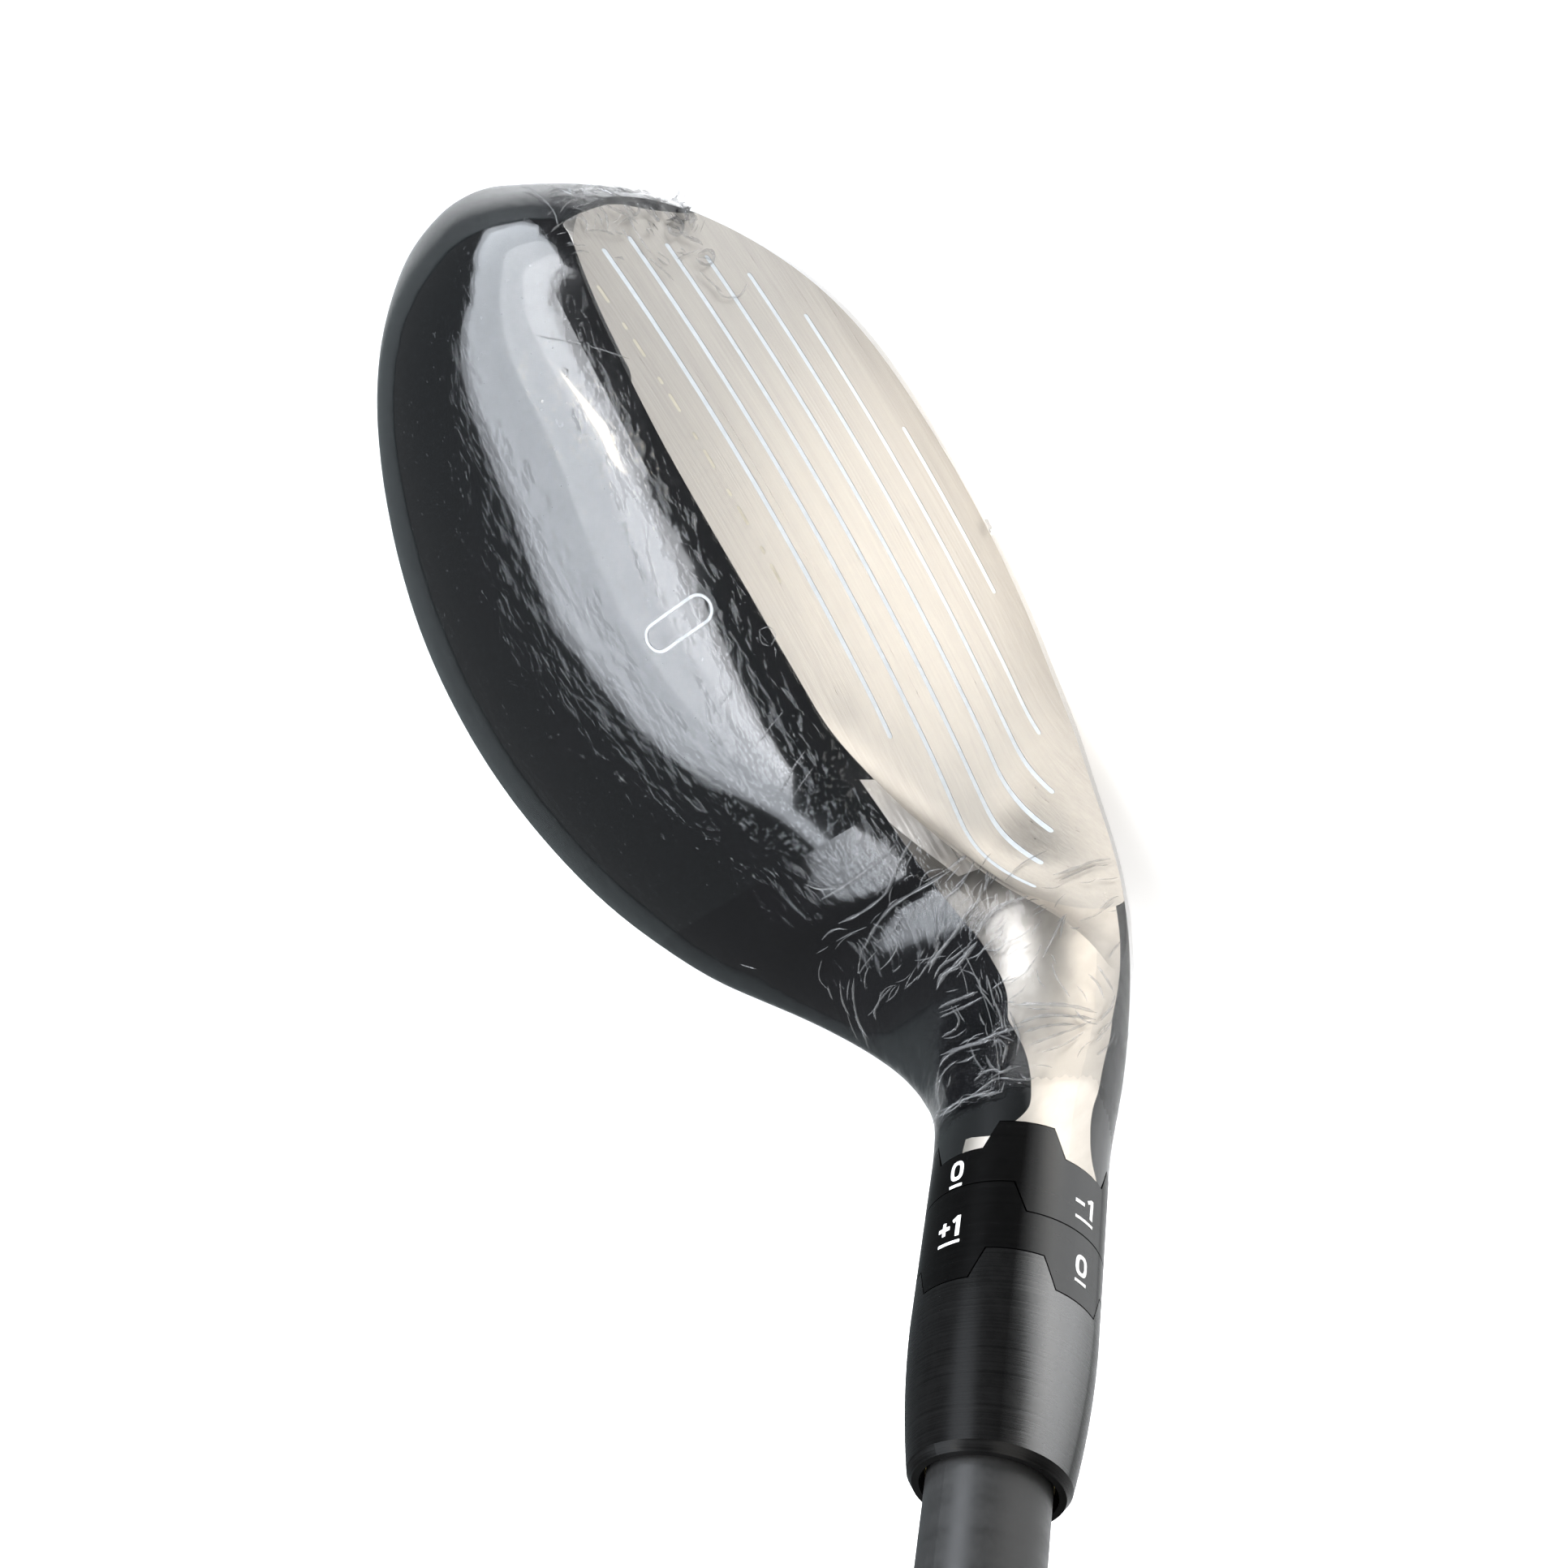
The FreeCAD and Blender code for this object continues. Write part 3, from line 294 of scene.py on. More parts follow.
def scratches(sh):
    """Fine scratches in two crossing directions."""
    first = sh.noise(sh.coords((25, 1500, 400), (0.25, 0.15, 1.0)), scale=1.0, detail=2.0)
    first = sh.ramp(first, (0.715, 0), (0.735, 1))
    second = sh.noise(sh.coords((900, 22, 300), (0.1, 0.4, -0.3)), scale=1.0, detail=2.0)
    second = sh.ramp(second, (0.73, 0), (0.75, 1))
    return sh.math("MAXIMUM", first, second)


def crown_paint():
    sh = new_material("charcoal_metallic_paint", base=(0.01, 0.011, 0.013), rough=0.12,
                      Coat_Weight=0.6, Coat_Roughness=0.03, Coat_IOR=1.5, IOR=1.5)
    colour, rough = gloss_paint(sh, base=(0.0020, 0.0027, 0.0030), fleck=(0.045, 0.054, 0.06),
                                amount=0.32, rough=(0.06, 0.09))
    sh.set(Roughness=rough)
    sh.set(Coat_Weight=sh.times(edge_fade(sh, specular=0.5), 0.5))
    dust = sh.ramp(sh.noise(sh.coords(), scale=2300, detail=0.0), (0.80, 0), (0.83, 1))
    sh.set(Base_Color=sh.mix(sh.times(dust, 0.35), colour, (0.09, 0.095, 0.10)))
    sh.bump(scratches(sh), strength=0.05, distance=0.0003)
    return sh.owner


def body_paint():
    """Black paint, with bare satin metal on the front of the hosel; the metal is darkened by
    painted shade where it turns up.
    """
    sh = new_material("body_paint_and_bare_hosel", base=(0.01, 0.01, 0.012), rough=0.12,
                      Coat_Roughness=0.03, Coat_IOR=1.4, IOR=1.4)
    right, down, facing = view_coords(sh)
    left_line = mask_line(sh, down, BARE_LEFT)
    right_line = mask_line(sh, down, BARE_RIGHT)
    in_left = sh.soft_step(sh.minus(right, left_line))
    in_right = sh.soft_step(sh.minus(right_line, right))
    in_top = sh.soft_step(sh.minus(down, frame_share(BARE_TOP)))
    in_sight = sh.math("LESS_THAN", facing, TOWARDS_CAMERA)
    bare = sh.times(sh.times(in_left, in_right), sh.times(in_top, in_sight))
    colour, rough = gloss_paint(sh, **BODY_BLACK)
    satin = sh.noise(sh.coords((600, 600, 160), (0, math.radians(-31.5), 0)),
                     scale=1.0, detail=4.0, rough=0.6)
    steel = sh.ramp(satin, (0.3, (0.50, 0.46, 0.41)), (0.7, (0.59, 0.545, 0.49)))
    # painted shade: the bare metal's colour darkens where its surface turns up towards the crown
    upward = sh.dot(sh.add("TexCoord").outputs["Normal"], (0, 0, 1))
    painted_upward_shade = sh.ramp(upward, (0.60, 1), (0.72, 0.45), (0.90, 0.12))
    metal = sh.mix(painted_upward_shade, (0.012, 0.011, 0.010), steel)
    sh.set(Base_Color=sh.mix(bare, colour, metal), Metallic=bare,
           Roughness=sh.mix(bare, rough, 0.36, "FLOAT"))
    fade = edge_fade(sh, specular=0.4)
    sh.set(Coat_Weight=sh.times(sh.minus(1.0, bare), sh.times(fade, 0.5)))
    sh.bump(sh.times(satin, bare), strength=0.10, distance=0.00015)
    return sh.owner


def face_metal():
    """Metal brushed along the score lines, painted black outside its masking lines."""
    sh = new_material("brushed_face_plate", base=(0.6, 0.57, 0.52), rough=0.32, metallic=1.0,
                      Coat_Roughness=0.04, Coat_IOR=1.4)
    forward = sh.dot(sh.add("TexCoord").outputs["Normal"], (0, -math.cos(LOFT), math.sin(LOFT)))
    front = sh.soft_step(sh.minus(forward, 0.70), width=0.04)
    right, down, facing = view_coords(sh)
    # the paint on the rounded toe corner stops along a masked line
    toe_left = mask_line(sh, down, FACE_TOE_LEFT)
    toe_top = mask_line(sh, right, FACE_TOE_TOP)
    toe = sh.times(sh.soft_step(sh.minus(right, toe_left)), sh.soft_step(sh.minus(down, toe_top)))
    # the heel side is bare as far as the hosel
    heel_left = mask_line(sh, down, FACE_HEEL_LEFT)
    heel = sh.times(sh.soft_step(sh.minus(right, heel_left)),
                    sh.soft_step(sh.minus(down, frame_share(HEEL_TOP))))
    in_sight = sh.math("LESS_THAN", facing, TOWARDS_CAMERA)
    bare = sh.math("MAXIMUM", sh.times(front, toe), sh.times(heel, in_sight))
    fine = sh.noise(sh.coords((9, 2600, 5200)), scale=1.0, detail=4.0, rough=0.65)
    wide = sh.noise(sh.coords((3, 500, 900)), scale=1.0)
    streak = sh.plus(sh.times(fine, 0.65), sh.times(wide, 0.35))
    steel = sh.ramp(streak, (0.30, (0.385, 0.362, 0.334)), (0.70, (0.515, 0.485, 0.447)))
    black, paint_rough = gloss_paint(sh, **BODY_BLACK)
    sh.set(Base_Color=sh.mix(bare, black, steel), Metallic=bare)
    rough = sh.ramp(streak, (0.3, 0.26), (0.7, 0.40))
    sh.set(Roughness=sh.mix(bare, paint_rough, rough, "FLOAT"),
           Coat_Weight=sh.times(sh.minus(1.0, bare), 0.6))
    sh.bump(sh.times(fine, bare), strength=0.16, distance=0.00012)
    return sh.owner


# --------------------------------------------------------- plain and turned materials
def mottled(name, dark, light, rough, scale=1500):
    """Two close tones in fine noise, with a slight grain."""
    sh = new_material(name, dark, rough)
    place = sh.coords()
    sh.set(Base_Color=sh.ramp(sh.noise(place, scale, detail=2), (0.3, dark), (0.7, light)))
    sh.bump(sh.noise(place, scale * 2, detail=2), strength=0.08, distance=0.00005)
    return sh.owner


def painted_highlight_side():
    """Direction square to the shaft on whose side a highlight is painted on the sleeve stack."""
    ray = view_ray(26.4, 67.4)
    to_camera = unit(-ray - np.dot(-ray, AXIS) * AXIS)
    to_right = np.cross(AXIS, to_camera)
    to_right *= np.sign(np.dot(to_right, CAM_AXES[0])) / np.linalg.norm(to_right)
    rightward = 0.56
    return math.sqrt(1 - rightward * rightward) * to_camera + rightward * to_right


PAINTED_HIGHLIGHT_SIDE = tuple(painted_highlight_side())


def turned(name, base, rough, spots, strength, metallic=0.0, tint=None, pitch=2200, painted_highlight=None,
           **inputs):
    """Parts turned on the shaft axis: fine rings round the axis.
    The painted highlight pair is the specular level away from and on one chosen side, so that
    reflections show as a streak on that side only."""
    sh = new_material(name, base, rough, metallic, **inputs)
    source = sh.add("TexCoord")
    along = sh.dot(source.outputs["Object"], tuple(AXIS))
    combine = sh.add("CombineXYZ")
    sh.put(along, combine.inputs[0])
    rings = sh.noise(combine.outputs[0], scale=pitch, detail=4.0)
    spot = sh.noise(sh.coords(), scale=spots)
    tone = sh.plus(sh.times(rings, 0.7), sh.times(spot, 0.3))
    light = tint or tuple(min(1, x * 1.5 + 0.004) for x in base)
    sh.set(Base_Color=sh.ramp(tone, (0.35, base), (0.65, light)),
           Roughness=sh.ramp(tone, (0.35, rough * 0.85), (0.65, min(1, rough * 1.2))))
    sh.bump(rings, strength, distance=0.0001)
    # painted highlight: the specular level rises on one side of the axis and stays low round the
    # rest, so the lamps' reflections show only as a streak there
    if painted_highlight:
        low, high = painted_highlight
        side = sh.dot(source.outputs["Normal"], PAINTED_HIGHLIGHT_SIDE)
        sh.set(Specular_IOR_Level=sh.ramp(
            side, (0.84, low), (0.91, low + 0.35 * (high - low)), (0.99, high)))
    return sh.owner


def blasted_metal():
    sh = new_material("blasted_weight", base=(0.30, 0.30, 0.31), rough=0.45, metallic=1.0)
    grain = sh.noise(sh.coords(), scale=3500, detail=2.0)
    sh.set(Base_Color=sh.ramp(grain, (0.3, (0.24, 0.24, 0.25)), (0.7, (0.36, 0.36, 0.37))))
    sh.bump(grain, strength=0.3, distance=0.0001)
    return sh.owner


crown = crown_paint()
body = body_paint()
face = face_metal()
line_white = mottled("score_line_white", (0.66, 0.72, 0.78), (0.74, 0.80, 0.86), rough=0.5)
dial_white = mottled("dial_white", (0.78, 0.79, 0.80), (0.88, 0.88, 0.88), rough=0.55)
sight_grey = mottled("sight_mark_grey", (0.42, 0.44, 0.46), (0.5, 0.52, 0.54), rough=0.35)
etched = mottled("etched_pale", (0.56, 0.52, 0.42), (0.64, 0.60, 0.50), rough=0.6)
# the black ring and sleeve carry a painted highlight streak on one side
ring_black = turned("gloss_black_ring", (0.0018, 0.0018, 0.0018), rough=0.24, spots=900,
                    strength=0.02, tint=(0.003, 0.003, 0.003), painted_highlight=(0.02, 0.42), IOR=1.7)
sleeve_black = turned("black_turned_sleeve", (0.003, 0.003, 0.003), rough=0.27, spots=700,
                      strength=0.2, tint=(0.007, 0.007, 0.007), pitch=3600, painted_highlight=(0.03, 1.0),
                      IOR=1.8)
shaft_grey = turned("satin_grey_shaft", (0.016, 0.016, 0.016), rough=0.42, spots=2500,
                    strength=0.05, metallic=0.1, tint=(0.023, 0.023, 0.023), pitch=700)
METAL = dict(spots=900, strength=0.2, metallic=1.0)
zinc = turned("dark_zinc_screw", (0.16, 0.16, 0.17), rough=0.35, **METAL)
machined_steel = turned("machined_steel", (0.42, 0.42, 0.43), rough=0.3, **METAL)
brass = turned("machined_brass", (0.62, 0.45, 0.18), rough=0.3, **METAL)
nylon = mottled("natural_nylon", (0.70, 0.69, 0.62), (0.80, 0.79, 0.73), rough=0.45, scale=600)
epoxy = mottled("cured_epoxy", (0.55, 0.47, 0.22), (0.66, 0.58, 0.30), rough=0.25, scale=400)
hot_melt = mottled("hot_melt", (0.62, 0.54, 0.28), (0.75, 0.68, 0.42), rough=0.35, scale=200)
tungsten = mottled("tungsten_alloy", (0.20, 0.20, 0.205), (0.28, 0.28, 0.285), rough=0.5,
                   scale=500)
tape = mottled("crepe_tape", (0.66, 0.62, 0.50), (0.76, 0.72, 0.60), rough=0.8, scale=300)

PIECE_MATERIALS = {
    "head_body": body, "crown_shell": crown, "face_plate": face, "score_line_paint": line_white,
    "face_etch_dashes": etched, "crown_sight_mark": sight_grey, "tungsten_sole_bar": tungsten,
    "hot_melt_damper": hot_melt, "adjust_ring_lower": ring_black,
    "adjust_ring_upper": ring_black, "ring_marks_lower": dial_white,
    "ring_marks_upper": dial_white, "adapter_sleeve": sleeve_black,
    "thread_insert": machined_steel, "ring_guide_clip": zinc, "hosel_screw": zinc,
    "screw_washer": machined_steel, "screw_retaining_clip": nylon, "shaft": shaft_grey,
    "shaft_bond": epoxy, "tip_plug": brass, "grip_tape": tape, "grip_cap": nylon, "grip": nylon,
    "head_film": nylon, "sole_weight": blasted_metal()}
for piece_name, piece in pieces.items():
    paint(piece, PIECE_MATERIALS[piece_name])

# ------------------------------------------------------------- head surface
# Sections across the head, from toe to heel. Columns: x; top z, y; front z, y; back z, y;
# sole y, z; then the roundness powers front-top, back-top, back-sole and front-sole.
HEAD_SECTIONS = np.array([
    [79.5, 22.84, 16.62, 17.06, 10.21, 14.67, 29.73, 19.62, 10.24, 2.0, 2.0, 2.0, 2.2],
    [74.5, 28.09, 16.39, 17.02, 2.51, 14.29, 34.9, 14.54, 7.09, 2.1, 2.0, 2.0, 2.3],
    [68.5, 30.71, 16.26, 16.31, -2.78, 14.19, 40.23, 10.45, 3.99, 2.2, 2.0, 2.0, 2.5],
    [61.0, 31.53, 16.3, 15.0, -6.84, 14.23, 45.28, 7.5, 1.29, 2.2, 2.0, 2.1, 2.8],
    [53.0, 32.05, 16.19, 13.68, -10.64, 14.05, 49.07, 5.84, -0.17, 2.2, 2.0, 2.2, 3.2],
    [45.0, 32.54, 15.91, 12.58, -13.71, 13.79, 51.38, 5.2, -0.4, 2.2, 2.0, 2.3, 3.4],
    [36.0, 32.46, 15.51, 11.67, -15.45, 13.68, 52.32, 5.07, -0.5, 2.2, 2.0, 2.3, 3.4],
    [28.0, 32.08, 14.67, 11.16, -15.7, 13.81, 51.87, 5.06, -0.49, 2.2, 2.0, 2.3, 3.4],
    [20.0, 31.53, 13.15, 11.2, -14.98, 14.21, 50.11, 4.85, -0.25, 2.2, 2.0, 2.3, 3.2],
    [12.0, 30.29, 11.03, 11.69, -13.7, 14.98, 47.33, 4.23, 0.39, 2.2, 2.0, 2.2, 3.0],
    [5.0, 28.48, 8.27, 12.6, -11.96, 15.86, 43.26, 3.25, 1.5, 2.2, 2.0, 2.1, 2.8]])
# Sections fanned round the heel pivot. Columns: turn in degrees, then as above but with each z
# a distance from the pivot; last, the shift up the shaft.
HEEL_SECTIONS = np.array([
    [2.0, 8.38, 5.95, 22.05, -9.2, 21.23, 39.45, 3.67, 33.55, 2.2, 2.0, 2.1, 2.5, 0.0],
    [15.0, 9.65, 3.86, 21.11, -8.67, 20.08, 34.5, 2.65, 31.35, 2.15, 2.0, 2.05, 2.3, 0.0],
    [29.0, 10.69, 2.36, 20.51, -8.67, 19.58, 28.75, 1.72, 29.63, 2.1, 2.0, 2.0, 2.15, 0.0],
    [44.0, 11.57, 1.41, 20.08, -8.64, 19.41, 22.99, 0.95, 28.31, 2.0, 2.0, 2.0, 2.0, 0.0],
    [58.5, 12.45, 0.85, 19.83, -8.55, 19.35, 17.87, 0.37, 27.51, 2.0, 2.0, 2.0, 2.0, 0.0],
    [58.5, 13.19, 0.51, 19.79, -8.6, 19.33, 13.65, -0.04, 27.24, 2.0, 2.0, 2.0, 2.0, 5.0],
    [58.5, 13.16, 0.24, 19.67, -8.33, 19.33, 10.35, -0.18, 27.11, 2.0, 2.0, 2.0, 2.0, 10.0],
    [58.5, 11.83, 0.0, 19.36, -7.56, 19.35, 7.99, -0.0, 26.9, 2.0, 2.0, 2.0, 2.0, 15.0]])
TOE_TIP = np.array([82.28, 19.64, 13.75])
PIVOT_Z = 37.0                        # height of the heel pivot
HOSEL_RADIUS = 7.42
HOSEL_SHIFTS = (19.5, 24.0, 28.0)     # of the round hosel sections, up the shaft
QUARTER = 6                           # poles in a quarter of a section


def section(front_y, front_z, back_y, back_z, top_y, top_z, sole_y, sole_z, *powers):
    """Poles (y, z) of one section: front, top, back, sole."""
    angle = np.pi / 2 * np.arange(QUARTER) / QUARTER
    cos, sin = np.cos(angle), np.sin(angle)

    def quarter(y0, z0, y1, z1, power, steep):
        falling, rising = cos ** (2 / power), sin ** (2 / power)
        if steep:
            return np.stack([y1 + (y0 - y1) * falling, z0 + (z1 - z0) * rising], 1)
        return np.stack([y0 + (y1 - y0) * rising, z1 + (z0 - z1) * falling], 1)

    front_top, back_top, back_sole, front_sole = powers
    return np.concatenate([
        quarter(front_y, front_z, top_y, top_z, front_top, True),
        quarter(top_y, top_z, back_y, back_z, back_top, False),
        quarter(back_y, back_z, sole_y, sole_z, back_sole, True),
        quarter(sole_y, sole_z, front_y, front_z, front_sole, False)])


def fanned(poles, angle, shift):
    """Turn a section about the heel pivot and shift it up the shaft."""
    y, z = poles.T
    return np.column_stack([z * math.sin(angle), y, PIVOT_Z + z * math.cos(angle)]) + AXIS * shift


def head_poles(inset):
    """Spline poles of the head surface moved in by inset, from the toe to the hosel."""
    rows = []
    toe = TOE_TIP - np.array([inset, 0, 0])
    for x, tz, ty, fz, fy, bz, by, sy, sz, *powers in HEAD_SECTIONS:
        poles = section(fy + inset, fz, by - inset, bz, ty, tz - inset, sy, sz + inset, *powers)
        rows.append(np.column_stack([np.full(len(poles), x), poles]))
    first = rows[0]
    inner, outer = toe + (first - toe) * 0.34, toe + (first - toe) * 0.72
    inner[:, 0] = toe[0]
    outer[:, 0] = toe[0] - (toe[0] - first[0, 0]) * 0.36
    rows = [np.tile(toe, (4 * QUARTER, 1)), inner, outer] + rows
    for turn, tz, ty, fz, fy, bz, by, sy, sz, *powers, shift in HEEL_SECTIONS:
        poles = section(fy + inset, -fz, by - inset, -bz, ty, -tz - inset, sy, -sz + inset,
                        *powers)
        rows.append(fanned(poles, math.radians(turn), shift))
    reach, radius = PIVOT_Z * math.cos(LIE), HOSEL_RADIUS
    poles = section(-radius + inset, -reach, radius - inset, -reach,
                    0, -(reach - radius) - inset, 0, -(reach + radius) + inset, 2, 2, 2, 2)
    rows += [fanned(poles, LIE, shift) for shift in HOSEL_SHIFTS]
    return np.array(rows)


def basis_clamped(count, u):
    """Cubic B-spline weights along an open row of poles."""
    knots = np.r_[[0.0] * 3, np.arange(count - 2), [float(count - 3)] * 3]
    u = np.clip(u, 0, count - 3 - 1e-9)
    weights = [((u >= knots[i]) & (u < knots[i + 1])).astype(float)
               for i in range(len(knots) - 1)]
    for degree in range(1, 4):
        raised = []
        for i in range(len(knots) - 1 - degree):
            start, end = knots[i], knots[i + degree]
            next_start, next_end = knots[i + 1], knots[i + degree + 1]
            a = (u - start) / (end - start) * weights[i] if end > start else 0 * u
            b = ((next_end - u) / (next_end - next_start) * weights[i + 1]
                 if next_end > next_start else 0 * u)
            raised.append(a + b)
        weights = raised
    return np.stack(weights, 1)


def basis_round(count, v):
    """Cubic B-spline weights round a closed ring of poles."""
    weights = np.zeros((len(v), count))
    for row, t in enumerate(v):
        i = int(math.floor(t))
        q = t - i
        cubic = ((1 - q) ** 3 / 6, (3 * q ** 3 - 6 * q * q + 4) / 6,
                 (-3 * q ** 3 + 3 * q * q + 3 * q + 1) / 6, q ** 3 / 6)
        for j, weight in enumerate(cubic):
            weights[row, (i - 1 + j) % count] += weight
    return weights


def face_y(x, z):
    """The lofted, bulged face, easing to an upright plane near the hosel."""
    height = z / math.cos(LOFT)
    bulge = ((x - 40) ** 2 + (height - 17) ** 2) / 600 / math.cos(LOFT)
    y = -8.5 + z * math.tan(LOFT) + bulge
    across = x * math.sin(LIE) + z * math.cos(LIE)
    up_shaft = z * math.sin(LIE) - x * math.cos(LIE)
    beside = smoothstep(np.clip((10.0 - across) / 16.0, 0, 1))
    above = smoothstep(np.clip((up_shaft - 17.0) / 16.0, 0, 1))
    plane = 1 - (1 - beside) * (1 - above)
    return y * (1 - plane) - 8.6 * plane


def face_normal(x, z):
    d = 0.02
    slope_x = (face_y(x + d, z) - face_y(x - d, z)) / (2 * d)
    slope_z = (face_y(x, z + d) - face_y(x, z - d)) / (2 * d)
    return unit(np.stack([slope_x, -np.ones_like(slope_x), slope_z], -1))


def head_grid(inset, u, v):
    """Head surface moved in by inset, cut by the face moved back as far.
    Returns points, body normals, face normals and side (+1 shell, 0 edge, -1 face)."""
    poles = head_poles(inset)
    count, ring = len(poles), 4 * QUARTER

    def blend(along, round_):
        return np.einsum("ui,vj,ijk->uvk", along, round_, poles, optimize=True)

    along, round_ = basis_clamped(count, u), basis_round(ring, v)
    grid = blend(along, round_)
    e = 1e-3
    slope_u = blend(basis_clamped(count, np.minimum(u + e, count - 3 - 2e-9))
                    - basis_clamped(count, np.maximum(u - e, 0)), round_)
    slope_v = blend(along, basis_round(ring, v + e) - basis_round(ring, v - e))
    normals = np.cross(slope_u, slope_v)
    normals = normals / np.maximum(np.linalg.norm(normals, axis=-1, keepdims=True), 1e-12)
    half = len(u) // 2
    if ((grid[half] - grid.mean((0, 1))) * normals[half]).sum() < 0:
        normals = -normals
    normals[0] = (1, 0, 0)
    behind = grid[..., 1] - face_y(grid[..., 0], grid[..., 2]) - inset
    # snap the nearest grid point of every crossed edge onto the cut
    unset = 9.0
    best = np.full(behind.shape, unset)
    points = grid.copy()
    for axis in (1, 0):
        for step in (1, -1):
            neighbour, other = np.roll(grid, -step, axis), np.roll(behind, -step, axis)
            valid = np.ones_like(behind, bool)
            if axis == 0:
                valid[-1 if step == 1 else 0] = False
            change = behind - other
            t = behind / np.where(np.abs(change) > 1e-12, change, 1e-12)
            snap = valid & (behind * other < 0) & (t <= 0.5) & (t < best)
            points[snap] = (grid + t[..., None] * (neighbour - grid))[snap]
            best[snap] = t[snap]
    side = np.sign(behind)
    side[best < unset] = 0
    on_face = side <= 0
    x, z = points[on_face, 0], points[on_face, 2]
    points[on_face, 1] = face_y(x, z) + inset
    return points, normals, face_normal(points[..., 0], points[..., 2]), side


def grid_verts(points):
    """Row 0 is one point."""
    return [points[0, 0]] + [p for row in points[1:] for p in row]


def grid_faces(side):
    """Faces of a closed-round grid; squares that cross the cut are split along it."""
    rows, ring = side.shape
    faces = []
    for i in range(rows - 1):
        for j in range(ring):
            k = (j + 1) % ring
            corners = [(i, j), (i + 1, j), (i + 1, k), (i, k)]
            sides = [side[corner] for corner in corners]
            ids = [0 if a == 0 else 1 + (a - 1) * ring + b for a, b in corners]
            if i == 0:
                faces.append((ids[0], ids[1], ids[2]))
            elif max(sides) > 0 and min(sides) < 0:
                diagonal = sides[0] == 0 and sides[2] == 0
                halves = ((0, 1, 2), (0, 2, 3)) if diagonal else ((0, 1, 3), (1, 2, 3))
                faces += [tuple(ids[c] for c in half) for half in halves]
            else:
                faces.append(tuple(ids))
    return faces


def add_piece(name, verts, faces, material, group, replaced):
    mesh = bpy.data.meshes.new(name)
    mesh.from_pydata([tuple(v) for v in verts], [], faces)
    mesh.update()
    mesh.polygons.foreach_set("use_smooth", [True] * len(mesh.polygons))
    obj = bpy.data.objects.new(name, mesh)
    bpy.context.scene.collection.objects.link(obj)
    bm = bmesh.new()
    bm.from_mesh(mesh)
    bmesh.ops.delete(bm, geom=[v for v in bm.verts if not v.link_faces], context="VERTS")
    bmesh.ops.recalc_face_normals(bm, faces=bm.faces)
    bm.to_mesh(mesh)
    bm.free()
    paint(obj, material)
    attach(obj, group)
    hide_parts(replaced)


# ------------------------------------------------------------- clear film
FILM_GAP, FILM_THICKNESS = 0.36, 0.08
FILM_U = np.concatenate([np.linspace(0, 3.2, 46), np.linspace(3.2, 12.5, 62)[1:],
                         np.linspace(12.5, 20.6, 112)[1:]])
FILM_V = np.arange(240) * (4 * QUARTER / 240)
# Sloping edge of the film on the hosel: angle round the shaft, distance up it
HEM = [(-180, 48.2), (-90, 49.2), (-20, 49.2), (0, 48.9), (14, 48.9), (30, 48.1), (40, 47.2),
       (60, 46.1), (84, 44.6), (120, 46.0), (180, 48.2)]


def film_material():
    sh = new_material("clear_film", base=(0.02, 0.021, 0.023), rough=0.07, IOR=1.7, Alpha=0.09)
    # crinkled near the hosel, tight elsewhere
    along = sh.dot(sh.add("TexCoord").outputs["Object"], tuple(AXIS))
    near = sh.ramp(sh.plus(sh.times(along, 20.0), 0.35), (0.42, 0), (0.75, 1))
    crinkles = sh.noise(sh.coords((260, 420, 260)), scale=1.0, rough=0.55)
    sh.bump(sh.times(crinkles, near), strength=0.35, distance=0.0012)
    sh.owner.blend_method = "BLEND"
    return sh.owner


def fold_material():
    sh = new_material("film_fold", base=(0.24, 0.245, 0.25), rough=0.12, IOR=1.65, Alpha=0.24)
    sh.owner.blend_method = "BLEND"
    return sh.owner


def smooth_noise(points, scale, seed):
    """Cheap smooth noise from a few random plane waves."""
    rng = np.random.default_rng(seed)
    waves = 7
    total = np.zeros(points.shape[:-1])
    for _ in range(waves):
        wave = rng.normal(size=3)
        wave *= scale / np.linalg.norm(wave) * rng.uniform(0.6, 1.5)
        total += np.sin(points @ wave + rng.uniform(0, 6.28))
    return total / waves


def trim_to_hem(points, start):
    """Stretch the rows from start on so that the film ends on a slightly wavy hem."""
    angles = np.degrees(np.arctan2(-points[..., 1], points @ ACROSS))[-1]
    hem = np.interp(angles, *np.transpose(HEM))
    heights = points @ AXIS
    for j in range(points.shape[1]):
        s = heights[start:, j]
        s = np.maximum.accumulate(s + np.arange(len(s)) * 1e-6)
        end = hem[j] + 0.18 * math.sin(j * 1.7) + 0.12 * math.sin(j * 0.61)
        target = s[0] + (s - s[0]) * (end - s[0]) / (s[-1] - s[0])
        for k in range(3):
            points[start:, j, k] = np.interp(target, s, points[start:, j, k].copy())


